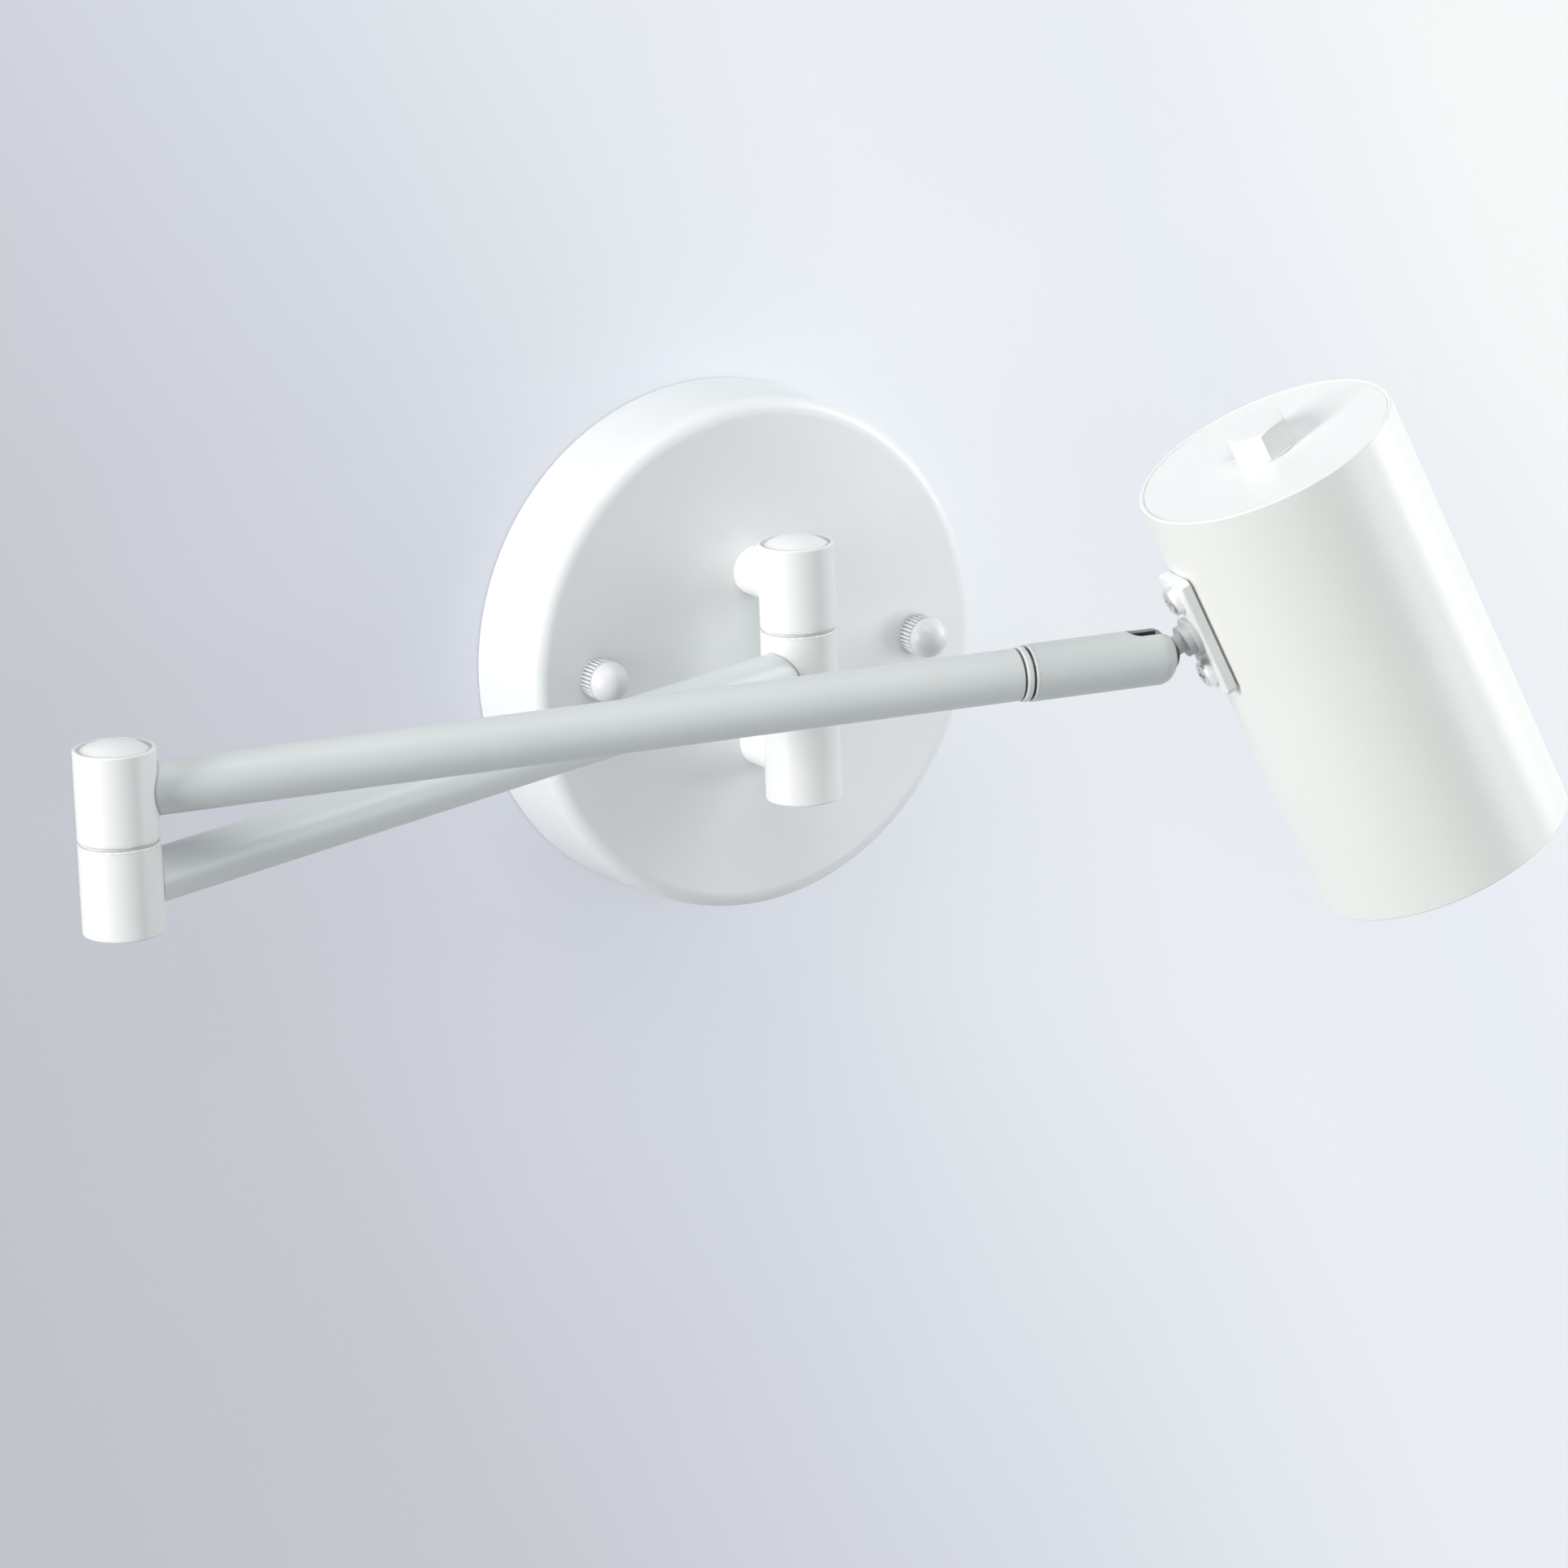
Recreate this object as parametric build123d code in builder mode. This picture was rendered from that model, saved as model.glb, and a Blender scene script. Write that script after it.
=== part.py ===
from build123d import *

import os
from math import cos, radians, sin, sqrt

os.makedirs("parts", exist_ok=True)

# An articulating wall lamp in millimetres. The wall is the plane Y = 0, the lamp stands out
# of it toward -Y, and Z is up. The origin is the centre of the canopy's back.

# Canopy: a shallow pressed dish, open toward the wall.
canopy_radius = 60.0
canopy_depth = 23.5
canopy_wall = 1.2
canopy_draft = 0.8
canopy_front_round = 3.6
# The two cap nuts stand on a line that is turned a little from level.
fixing_spacing = 86.0
fixing_line_turn = 2.8
fixing_hole_play = 0.3

# Crossbar: a joggled steel strip that lies against the wall inside the canopy.
bar_thickness = 1.5
bar_width = 20.0
bar_half_length = 52.0
bar_flat_half = 34.0
bar_joggle_run = 4.0
bar_rise = 5.0
wall_hole_spacing = 50.0
wall_hole_radius = 2.5

# Fixing screws, cap nuts and the earth screw.
screw_radius = 2.0
fixing_head_radius = 3.5
fixing_head_height = 2.4
fixing_thread_in_nut = 6.0
cap_nut_bottom_play = 0.4
knurl_radius = 4.7
knurl_length = 4.9
knurl_count = 30
knurl_depth = 0.5
knurl_turn = 45.0
quarter_turn = 90.0
dome_radius = 4.7
earth_screw_place = 16.0
slot_cut = 0.9

# Terminal block and its screws.
block_width = 18.0
block_height = 16.0
block_depth = 12.0
block_round = 1.0
pole_offset = 4.0
pole_depth = 6.0
wire_bore_radius = 1.5
clamp_offset = 4.5
clamp_radius = 1.75
clamp_length = 2.9
clamp_sunk = 1.5
block_screw_radius = 1.5
block_screw_head_radius = 2.75
block_screw_head_height = 2.0
block_screw_sunk = 0.2
screw_end_recess = 0.3

# Hinge barrels: three at the wall and two at the elbow, all of one size.
barrel_radius = 8.65
barrel_pitch = 20.0
barrel_seam = 0.5
barrel_floor = 2.0
barrel_cavity_radius = 7.2
barrel_rim_radius = 7.9
barrel_rim_depth = 0.9
barrel_edge_round = 0.4
barrel_standoff = 41.0
seam_washer_radius = 8.2
seam_washer_thickness = 0.4

# Posts that carry the wall hinge.
post_radius = 5.7
post_stud_radius = 5.0
post_stud_length = 8.2
post_bore_radius = 3.5
post_nut_across = 14.0
post_nut_height = 3.0
post_washer_radius = 8.5
post_washer_thickness = 1.0

# Hollow hinge pins with their nuts and spring washers.
pin_radius = 4.0
pin_bore_radius = 2.75
pin_end_past_nut = 1.3
pin_nut_across = 12.0
pin_nut_height = 3.0
spring_washer_radius = 6.2
spring_washer_thickness = 0.4
window_height = 6.0

# Caps that close the barrels.
cap_skirt_radius = 7.18
cap_skirt_wall = 1.0
cap_skirt_length = 2.6
cap_edge_below_rim = 0.35
cap_rise = 2.1

# Arms.
tube_radius = 5.7
tube_wall = 1.0
inner_arm_length = 211.0
inner_arm_swing = -74.5
outer_arm_heading = -11.8
ball_reach = 234.0

# Swivel tip on the outer arm, with its ball joint.
tip_radius = 6.25
tip_length = 33.65
tip_nose_round = 4.0
tip_edge_round = 0.3
ball_radius = 4.55
mouth_radius = 3.7
slot_width = 5.4
slot_back = 7.4
groove_width = 0.6
groove_radius = 5.2
ring_radius = 6.05
ring_width = 1.4
ring_edge_round = 0.3
bush_length = 12.0
spigot_radius = 3.5
spigot_bore_radius = 2.4
spigot_tail = 2.0
clip_radius = 4.5
clip_thickness = 0.8
clip_gap = 3.0
seat_front = 2.8
seat_length = 4.2
seat_bore_radius = 2.4
spring_room = 2.4
disc_spring_thickness = 0.45
disc_spring_inner_radius = 2.5
disc_spring_outer_radius = 4.3

# Ball stud, its nut and the bracket on the shade.
head_tilt = 23.7
neck_radius = 2.2
stud_bore_radius = 1.6
stud_boss_radius = 3.6
stud_boss_height = 1.9
stud_collar_radius = 4.6
stud_collar_height = 1.1
stud_thread_radius = 3.0
stud_end_past_nut = 1.0
stud_nut_across = 9.0
stud_nut_height = 2.5
stud_washer_radius = 5.0
stud_washer_thickness = 0.8
bracket_length = 28.0
bracket_width = 12.0
bracket_thickness = 2.4
bracket_corner = 0.9
bracket_edge_round = 0.35
bracket_screw_offset = 9.3
bracket_screw_length = 8.3
bracket_head_radius = 3.3
bracket_head_height = 2.1
bracket_head_round = 1.2
cross_length = 3.6
cross_depth = 1.1
bracket_nut_across = 7.0
bracket_nut_turn = 30.0
bracket_nut_height = 3.2

# Shade, measured along its own axis from the top rim down.
shade_radius = 29.4
shade_wall = 1.0
shade_length = 103.0
shade_standoff = 11.4
shade_top_above_stud = 28.6
shade_rim_round = 0.3
lid_thickness = 1.5
lid_recess = 0.2
hex_across = 13.0
hex_height = 6.0
hex_turn = 13.5
hex_flange_radius = 7.2
hex_flange_height = 0.6
hex_chamfer = 0.9
socket_pipe_radius = 5.0
socket_pipe_bore = 3.2
socket_pipe_in_hex = 3.8
socket_nut_across = 14.0
socket_nut_height = 3.0
strap_width = 14.0
strap_thickness = 1.2
strap_leg = 16.0
holder_radius = 12.0
holder_drop = 4.5
holder_length = 20.0
holder_round = 1.0
holder_screw_radius = 1.25
holder_screw_depth = 4.0
holder_screw_head_radius = 2.4
holder_screw_head_height = 1.4
holder_pin_spacing = 10.0
holder_key_radius = 2.6
holder_key_depth = 7.0
lamp_pin_radius = 2.2
lamp_pin_neck_radius = 1.5
lamp_pin_length = 5.5
lamp_pin_head_length = 1.6
lamp_base_radius = 10.5
lamp_base_length = 14.0
lamp_face_radius = 24.5
lamp_length = 50.0
lamp_rim_height = 4.0
lamp_shell = 1.2
lens_thickness = 2.0

# Leads inside the arms.
lead_radius = 0.7
lead_half_gap = 1.2
lead_bend_radius = 4.2
lead_end_above_pin = 1.5

# Clearances.
fixed_fit = 0.02
running_fit = 0.05
face_gap = 0.05
seat_gap = 0.1
loose_fit = 0.1

# Directions and places worked out from the sizes above.
up = Vector(0, 0, 1)
out = Vector(0, -1, 0)
inner_angle = radians(-90 + inner_arm_swing)
inner_dir = Vector(cos(inner_angle), sin(inner_angle), 0)
outer_angle = radians(outer_arm_heading)
outer_dir = Vector(cos(outer_angle), sin(outer_angle), 0)
hinge_center = out * barrel_standoff
elbow_center = hinge_center + inner_dir * inner_arm_length
outer_start = elbow_center + up * barrel_pitch
ball_center = outer_start + outer_dir * ball_reach
tilt_angle = radians(head_tilt)
stem_dir = outer_dir * cos(tilt_angle) + up * sin(tilt_angle)
shade_up = up * cos(tilt_angle) - outer_dir * sin(tilt_angle)
shade_side = shade_up.cross(stem_dir)
shade_foot = ball_center + stem_dir * (shade_standoff + shade_radius)
shade_top = shade_foot + shade_up * shade_top_above_stud

barrel_height = barrel_pitch - barrel_seam
barrel_half = barrel_height / 2
barrel_bore_radius = pin_radius + running_fit
tube_hole_radius = tube_radius + fixed_fit
tube_bore_radius = tube_radius - tube_wall

wall_section = Plane(origin=(0, 0, 0), x_dir=(1, 0, 0), z_dir=(0, 0, -1))
wall_axis = Axis((0, 0, 0), out)
hinge_base = Plane(origin=hinge_center, x_dir=(1, 0, 0), z_dir=up)
elbow_base = Plane(origin=elbow_center, x_dir=(1, 0, 0), z_dir=up)
hinge_section = Plane(origin=hinge_center, x_dir=(1, 0, 0), z_dir=out)
elbow_section = Plane(origin=elbow_center, x_dir=(1, 0, 0), z_dir=out)
hinge_axis = Axis(hinge_center, up)
elbow_axis = Axis(elbow_center, up)
outer_axis = Axis(outer_start, outer_dir)
stem_axis = Axis(ball_center, stem_dir)
shade_axis = Axis(shade_top, -shade_up)
inner_line = Plane(origin=hinge_center, x_dir=up, z_dir=inner_dir)
outer_line = Plane(origin=outer_start, x_dir=up, z_dir=outer_dir)
outer_section = Plane(origin=outer_start, x_dir=up, z_dir=up.cross(outer_dir))
stem_line = Plane(origin=ball_center, x_dir=shade_up, z_dir=stem_dir)
stem_section = Plane(origin=ball_center, x_dir=shade_up, z_dir=shade_up.cross(stem_dir))
shade_line = Plane(origin=shade_top, x_dir=shade_side, z_dir=-shade_up)
shade_section = Plane(origin=shade_top, x_dir=shade_side, z_dir=shade_side.cross(-shade_up))

bar_dir = Vector(cos(radians(fixing_line_turn)), 0, -sin(radians(fixing_line_turn)))
bar_front = Plane(origin=(0, 0, 0), x_dir=bar_dir, z_dir=out)
bar_section = Plane(origin=(0, 0, 0), x_dir=bar_dir, z_dir=bar_dir.cross(out))
fixing_places = [(-fixing_spacing / 2, 0), (fixing_spacing / 2, 0)]
canopy_inner_front = canopy_depth - canopy_wall
post_level = barrel_pitch


def publish(part, name):
    """Labels a finished piece and writes it."""
    part.label = name
    export_step(part, f"parts/{name}.step")


# ---- canopy and what fixes it to the wall

with BuildPart() as canopy:
    with BuildSketch(wall_section):
        with BuildLine():
            Polyline(
                (0, 0),
                (canopy_radius, 0),
                (canopy_radius - canopy_draft, canopy_depth),
                (0, canopy_depth),
                close=True,
            )
        make_face()
    revolve(axis=wall_axis)
    fillet(canopy.edges().sort_by(Axis.Y)[0], radius=canopy_front_round)
    offset(amount=-canopy_wall, openings=canopy.faces().sort_by(Axis.Y)[-1])
    with BuildSketch(bar_front.offset(canopy_inner_front / 2)):
        with Locations(*fixing_places):
            Circle(screw_radius + fixing_hole_play)
    extrude(amount=canopy_depth, mode=Mode.SUBTRACT)
    with BuildSketch(Plane(origin=out * canopy_inner_front / 2, x_dir=(1, 0, 0), z_dir=out)):
        with Locations((0, post_level), (0, -post_level)):
            Circle(post_stud_radius + loose_fit)
    extrude(amount=canopy_depth, mode=Mode.SUBTRACT)
publish(canopy.part, "canopy")

bar_joggle_end = bar_flat_half + bar_joggle_run
bar_wall_side = [
    (-bar_half_length, bar_rise),
    (-bar_joggle_end, bar_rise),
    (-bar_flat_half, 0),
    (bar_flat_half, 0),
    (bar_joggle_end, bar_rise),
    (bar_half_length, bar_rise),
]
bar_room_side = [(x, y + bar_thickness) for x, y in reversed(bar_wall_side)]
with BuildPart() as crossbar:
    with BuildSketch(bar_section):
        with BuildLine():
            Polyline(*bar_wall_side, *bar_room_side, close=True)
        make_face()
    extrude(amount=bar_width / 2, both=True)
    with BuildSketch(bar_front):
        with Locations(*fixing_places, (earth_screw_place, 0)):
            Circle(screw_radius + fixed_fit)
        Circle(block_screw_radius + fixed_fit)
        with Locations((-wall_hole_spacing / 2, 0), (wall_hole_spacing / 2, 0)):
            Circle(wall_hole_radius)
    extrude(amount=bar_rise + bar_thickness, mode=Mode.SUBTRACT)
    # room for the fixing screws' heads, where the joggle comes near them
    with BuildSketch(bar_front):
        with Locations(*fixing_places):
            Circle(fixing_head_radius + loose_fit)
    extrude(amount=bar_rise, mode=Mode.SUBTRACT)
publish(crossbar.part, "crossbar")

fixing_end = canopy_depth + fixing_thread_in_nut
with BuildPart() as canopy_screws:
    with BuildSketch(bar_front.offset(bar_rise - fixing_head_height)):
        with Locations(*fixing_places):
            Circle(fixing_head_radius)
    extrude(amount=fixing_head_height)
    with BuildSketch(bar_front.offset(bar_rise)):
        with Locations(*fixing_places):
            Circle(screw_radius)
    extrude(amount=fixing_end - bar_rise)
    with BuildSketch(bar_front.offset(bar_rise - fixing_head_height)):
        with Locations(*fixing_places):
            Rectangle(2 * fixing_head_radius, slot_cut)
    extrude(amount=fixing_head_height / 2, mode=Mode.SUBTRACT)
publish(canopy_screws.part, "canopy_screws")

dome_start = canopy_depth + knurl_length
with BuildPart() as cap_nuts:
    with BuildSketch(bar_front.offset(canopy_depth)):
        with Locations(*fixing_places):
            Circle(knurl_radius)
            with PolarLocations(knurl_radius, knurl_count):
                Rectangle(knurl_depth, knurl_depth, rotation=knurl_turn, mode=Mode.SUBTRACT)
    extrude(amount=knurl_length)
    for nut_place in (-fixing_spacing / 2, fixing_spacing / 2):
        nut_center = bar_dir * nut_place + out * dome_start
        nut_section = Plane(origin=nut_center, x_dir=bar_dir, z_dir=bar_dir.cross(out))
        with BuildSketch(nut_section):
            with BuildLine():
                Polyline((0, dome_radius), (0, 0), (dome_radius, 0))
                CenterArc((0, 0), dome_radius, 0, quarter_turn)
            make_face()
        revolve(axis=Axis(nut_center, out))
    with BuildSketch(bar_front.offset(canopy_depth)):
        with Locations(*fixing_places):
            Circle(screw_radius + fixed_fit)
    extrude(amount=fixing_thread_in_nut + cap_nut_bottom_play, mode=Mode.SUBTRACT)
publish(cap_nuts.part, "cap_nuts")

with BuildPart() as earth_screw:
    with BuildSketch(bar_front.offset(bar_thickness)):
        with Locations((earth_screw_place, 0)):
            Circle(fixing_head_radius)
    extrude(amount=fixing_head_height)
    with BuildSketch(bar_front.offset(screw_end_recess)):
        with Locations((earth_screw_place, 0)):
            Circle(screw_radius)
    extrude(amount=bar_thickness - screw_end_recess)
    with BuildSketch(bar_front.offset(bar_thickness + fixing_head_height / 2)):
        with Locations((earth_screw_place, 0)):
            Rectangle(2 * fixing_head_radius, slot_cut)
    extrude(amount=fixing_head_height / 2, mode=Mode.SUBTRACT)
publish(earth_screw.part, "earth_screw")

# ---- terminal block on the crossbar

block_back = bar_thickness
block_front = block_back + block_depth
block_screw_seat = block_front - block_screw_head_height - block_screw_sunk
pole_places = [(-pole_offset, 0), (pole_offset, 0)]
clamp_places = [(x, z) for x in (-pole_offset, pole_offset) for z in (-clamp_offset, clamp_offset)]
wire_plane = Plane(origin=out * (block_back + pole_depth), x_dir=bar_dir, z_dir=bar_dir.cross(out))
with BuildPart() as terminal_block:
    with BuildSketch(bar_front.offset(block_back)):
        RectangleRounded(block_width, block_height, block_round)
    extrude(amount=block_depth)
    with BuildSketch(wire_plane):
        with Locations(*pole_places):
            Circle(wire_bore_radius)
    extrude(amount=block_height, both=True, mode=Mode.SUBTRACT)
    with BuildSketch(bar_front.offset(block_front)):
        with Locations(*clamp_places):
            Circle(clamp_radius + face_gap)
    extrude(amount=-(clamp_length + clamp_sunk), mode=Mode.SUBTRACT)
    with BuildSketch(bar_front.offset(block_screw_seat)):
        Circle(block_screw_head_radius + loose_fit)
    extrude(amount=block_screw_head_height + block_screw_sunk, mode=Mode.SUBTRACT)
    with BuildSketch(bar_front.offset(block_back)):
        Circle(block_screw_radius + fixed_fit)
    extrude(amount=block_depth, mode=Mode.SUBTRACT)
publish(terminal_block.part, "terminal_block")

with BuildPart() as terminal_screws:
    with BuildSketch(bar_front.offset(block_front - clamp_sunk)):
        with Locations(*clamp_places):
            Circle(clamp_radius)
    extrude(amount=-clamp_length)
    with BuildSketch(bar_front.offset(block_front - clamp_sunk)):
        with Locations(*clamp_places):
            Rectangle(2 * clamp_radius, slot_cut)
    extrude(amount=-slot_cut, mode=Mode.SUBTRACT)
publish(terminal_screws.part, "terminal_screws")

with BuildPart() as terminal_fixing_screw:
    with BuildSketch(bar_front.offset(block_screw_seat)):
        Circle(block_screw_head_radius)
    extrude(amount=block_screw_head_height)
    with BuildSketch(bar_front.offset(screw_end_recess)):
        Circle(block_screw_radius)
    extrude(amount=block_screw_seat - screw_end_recess)
    with BuildSketch(bar_front.offset(block_screw_seat + block_screw_head_height)):
        Rectangle(2 * block_screw_head_radius, slot_cut)
    extrude(amount=-slot_cut, mode=Mode.SUBTRACT)
publish(terminal_fixing_screw.part, "terminal_fixing_screw")

# ---- knuckles: a post and an end barrel in one piece

upper_floor = barrel_pitch - barrel_half
cavity_floor = upper_floor + barrel_floor
barrel_top = barrel_pitch + barrel_half
post_front = Plane(origin=out * canopy_depth + up * post_level, x_dir=(1, 0, 0), z_dir=out)
with BuildPart() as upper_knuckle:
    with BuildSketch(hinge_base.offset(upper_floor)):
        Circle(barrel_radius)
    extrude(amount=barrel_height)
    barrel_rims = upper_knuckle.edges().filter_by(GeomType.CIRCLE)
    fillet(barrel_rims, radius=barrel_edge_round)
    with BuildSketch(post_front):
        Circle(post_radius)
    extrude(amount=barrel_standoff - canopy_depth)
    with BuildSketch(post_front):
        Circle(post_stud_radius)
    extrude(amount=-post_stud_length)
    with BuildSketch(hinge_base.offset(cavity_floor)):
        Circle(barrel_cavity_radius)
    extrude(amount=barrel_height, mode=Mode.SUBTRACT)
    with BuildSketch(hinge_base.offset(barrel_top)):
        Circle(barrel_rim_radius)
    extrude(amount=-barrel_rim_depth, mode=Mode.SUBTRACT)
    with BuildSketch(hinge_base.offset(upper_floor)):
        Circle(pin_radius + fixed_fit)
    extrude(amount=barrel_floor, mode=Mode.SUBTRACT)
    with BuildSketch(post_front.offset(-post_stud_length)):
        Circle(post_bore_radius)
    extrude(amount=barrel_standoff - canopy_depth + post_stud_length, mode=Mode.SUBTRACT)
publish(upper_knuckle.part, "upper_knuckle")

with BuildPart() as lower_knuckle:
    mirror(upper_knuckle.part, about=Plane.XY)
publish(lower_knuckle.part, "lower_knuckle")

post_levels = (post_level, -post_level)
with BuildPart() as post_washers:
    for level in post_levels:
        washer_face = Plane(origin=out * canopy_inner_front + up * level, x_dir=(1, 0, 0), z_dir=-out)
        with BuildSketch(washer_face):
            Circle(post_washer_radius)
            Circle(post_stud_radius + loose_fit, mode=Mode.SUBTRACT)
        extrude(amount=post_washer_thickness)
publish(post_washers.part, "post_washers")

with BuildPart() as post_nuts:
    for level in post_levels:
        nut_face_out = canopy_inner_front - post_washer_thickness
        nut_face = Plane(origin=out * nut_face_out + up * level, x_dir=(1, 0, 0), z_dir=-out)
        with BuildSketch(nut_face):
            RegularPolygon(post_nut_across / 2, side_count=6, major_radius=False)
            Circle(post_stud_radius + fixed_fit, mode=Mode.SUBTRACT)
        extrude(amount=post_nut_height)
publish(post_nuts.part, "post_nuts")

# ---- wall hinge: a hollow pin through all three barrels

wave_top = cavity_floor + face_gap + spring_washer_thickness
upper_nut_base = wave_top + face_gap
pin_top = upper_nut_base + pin_nut_height + pin_end_past_nut
with BuildPart() as hinge_pin:
    with BuildSketch(hinge_base.offset(-pin_top)):
        Circle(pin_radius)
        Circle(pin_bore_radius, mode=Mode.SUBTRACT)
    extrude(amount=2 * pin_top)
    with BuildSketch(hinge_base.offset(-window_height / 2)):
        with Locations((0, -pin_radius)):
            Rectangle(4 * pin_radius, 2 * pin_radius)
    extrude(amount=window_height, mode=Mode.SUBTRACT)
publish(hinge_pin.part, "hinge_pin")

with BuildPart() as hinge_pin_nuts:
    for nut_base in (upper_nut_base, -cavity_floor - pin_nut_height):
        with BuildSketch(hinge_base.offset(nut_base)):
            RegularPolygon(pin_nut_across / 2, side_count=6, major_radius=False)
            Circle(pin_radius + fixed_fit, mode=Mode.SUBTRACT)
        extrude(amount=pin_nut_height)
publish(hinge_pin_nuts.part, "hinge_pin_nuts")

with BuildPart() as hinge_spring_washer:
    with BuildSketch(hinge_base.offset(cavity_floor + face_gap)):
        Circle(spring_washer_radius)
        Circle(pin_radius + loose_fit, mode=Mode.SUBTRACT)
    extrude(amount=spring_washer_thickness)
publish(hinge_spring_washer.part, "hinge_spring_washer")

seam_washer_base = barrel_half + (barrel_seam - seam_washer_thickness) / 2
with BuildPart() as hinge_seam_washers:
    for washer_base in (seam_washer_base, -seam_washer_base - seam_washer_thickness):
        with BuildSketch(hinge_base.offset(washer_base)):
            Circle(seam_washer_radius)
            Circle(barrel_bore_radius, mode=Mode.SUBTRACT)
        extrude(amount=seam_washer_thickness)
publish(hinge_seam_washers.part, "hinge_seam_washers")

cap_edge = barrel_top - cap_edge_below_rim
cap_crown = cap_edge + cap_rise
cap_chord_mid = cap_skirt_radius / 2
cap_dome_radius = (cap_skirt_radius**2 + cap_rise**2) / (2 * cap_rise)
cap_mid_height = sqrt(cap_dome_radius**2 - cap_chord_mid**2) - cap_dome_radius + cap_crown
cap_outline = [
    (cap_skirt_radius, cap_edge),
    (cap_skirt_radius, cap_edge - cap_skirt_length),
    (cap_skirt_radius - cap_skirt_wall, cap_edge - cap_skirt_length),
    (cap_skirt_radius - cap_skirt_wall, cap_edge - cap_skirt_wall),
    (0, cap_edge - cap_skirt_wall),
    (0, cap_crown),
]
with BuildPart() as hinge_top_cap:
    with BuildSketch(hinge_section):
        with BuildLine():
            Polyline(*cap_outline)
            ThreePointArc((0, cap_crown), (cap_chord_mid, cap_mid_height), (cap_skirt_radius, cap_edge))
        make_face()
    revolve(axis=hinge_axis)
publish(hinge_top_cap.part, "hinge_top_cap")

with BuildPart() as hinge_bottom_cap:
    mirror(hinge_top_cap.part, about=Plane.XY)
publish(hinge_bottom_cap.part, "hinge_bottom_cap")

# ---- inner arm: the middle barrel, the tube and the lower elbow barrel

with BuildPart() as inner_barrel:
    with BuildSketch(hinge_base.offset(-barrel_half)):
        Circle(barrel_radius)
    extrude(amount=barrel_height)
    fillet(inner_barrel.edges().filter_by(GeomType.CIRCLE), radius=barrel_edge_round)
    with BuildSketch(hinge_base.offset(barrel_floor - barrel_half)):
        Circle(barrel_cavity_radius)
    extrude(amount=barrel_height - 2 * barrel_floor, mode=Mode.SUBTRACT)
    with BuildSketch(hinge_base.offset(-barrel_half)):
        Circle(barrel_bore_radius)
    extrude(amount=barrel_height, mode=Mode.SUBTRACT)
    with BuildSketch(inner_line):
        Circle(tube_hole_radius)
    extrude(amount=2 * barrel_radius, mode=Mode.SUBTRACT)
publish(inner_barrel.part, "inner_barrel")

with BuildPart() as inner_arm_tube:
    with BuildSketch(inner_line):
        Circle(tube_radius)
        Circle(tube_bore_radius, mode=Mode.SUBTRACT)
    extrude(amount=inner_arm_length)
    for base in (hinge_base, elbow_base):
        with BuildSketch(base):
            Circle(barrel_cavity_radius)
        extrude(amount=barrel_height, both=True, mode=Mode.SUBTRACT)
publish(inner_arm_tube.part, "inner_arm_tube")

lower_floor_under = barrel_half - barrel_floor
with BuildPart() as elbow_lower_barrel:
    with BuildSketch(elbow_base.offset(-barrel_half)):
        Circle(barrel_radius)
    extrude(amount=barrel_height)
    fillet(elbow_lower_barrel.edges().filter_by(GeomType.CIRCLE), radius=barrel_edge_round)
    with BuildSketch(elbow_base.offset(lower_floor_under)):
        Circle(barrel_cavity_radius)
    extrude(amount=-barrel_height, mode=Mode.SUBTRACT)
    with BuildSketch(elbow_base.offset(-barrel_half)):
        Circle(barrel_rim_radius)
    extrude(amount=barrel_rim_depth, mode=Mode.SUBTRACT)
    with BuildSketch(elbow_base.offset(lower_floor_under)):
        Circle(pin_radius + fixed_fit)
    extrude(amount=barrel_floor, mode=Mode.SUBTRACT)
    with BuildSketch(inner_line.offset(inner_arm_length)):
        Circle(tube_hole_radius)
    extrude(amount=-2 * barrel_radius, mode=Mode.SUBTRACT)
publish(elbow_lower_barrel.part, "elbow_lower_barrel")

elbow_pin_bottom = lower_floor_under - pin_nut_height - pin_end_past_nut
with BuildPart() as elbow_pin:
    with BuildSketch(elbow_base.offset(elbow_pin_bottom)):
        Circle(pin_radius)
        Circle(pin_bore_radius, mode=Mode.SUBTRACT)
    extrude(amount=pin_top - elbow_pin_bottom)
publish(elbow_pin.part, "elbow_pin")

with BuildPart() as elbow_pin_nuts:
    for nut_base in (upper_nut_base, lower_floor_under - pin_nut_height):
        with BuildSketch(elbow_base.offset(nut_base)):
            RegularPolygon(pin_nut_across / 2, side_count=6, major_radius=False)
            Circle(pin_radius + fixed_fit, mode=Mode.SUBTRACT)
        extrude(amount=pin_nut_height)
publish(elbow_pin_nuts.part, "elbow_pin_nuts")

with BuildPart() as elbow_spring_washer:
    with BuildSketch(elbow_base.offset(cavity_floor + face_gap)):
        Circle(spring_washer_radius)
        Circle(pin_radius + loose_fit, mode=Mode.SUBTRACT)
    extrude(amount=spring_washer_thickness)
publish(elbow_spring_washer.part, "elbow_spring_washer")

with BuildPart() as elbow_seam_washer:
    with BuildSketch(elbow_base.offset(seam_washer_base)):
        Circle(seam_washer_radius)
        Circle(barrel_bore_radius, mode=Mode.SUBTRACT)
    extrude(amount=seam_washer_thickness)
publish(elbow_seam_washer.part, "elbow_seam_washer")

with BuildPart() as elbow_top_cap:
    with BuildSketch(elbow_section):
        with BuildLine():
            Polyline(*cap_outline)
            ThreePointArc((0, cap_crown), (cap_chord_mid, cap_mid_height), (cap_skirt_radius, cap_edge))
        make_face()
    revolve(axis=elbow_axis)
publish(elbow_top_cap.part, "elbow_top_cap")

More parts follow.
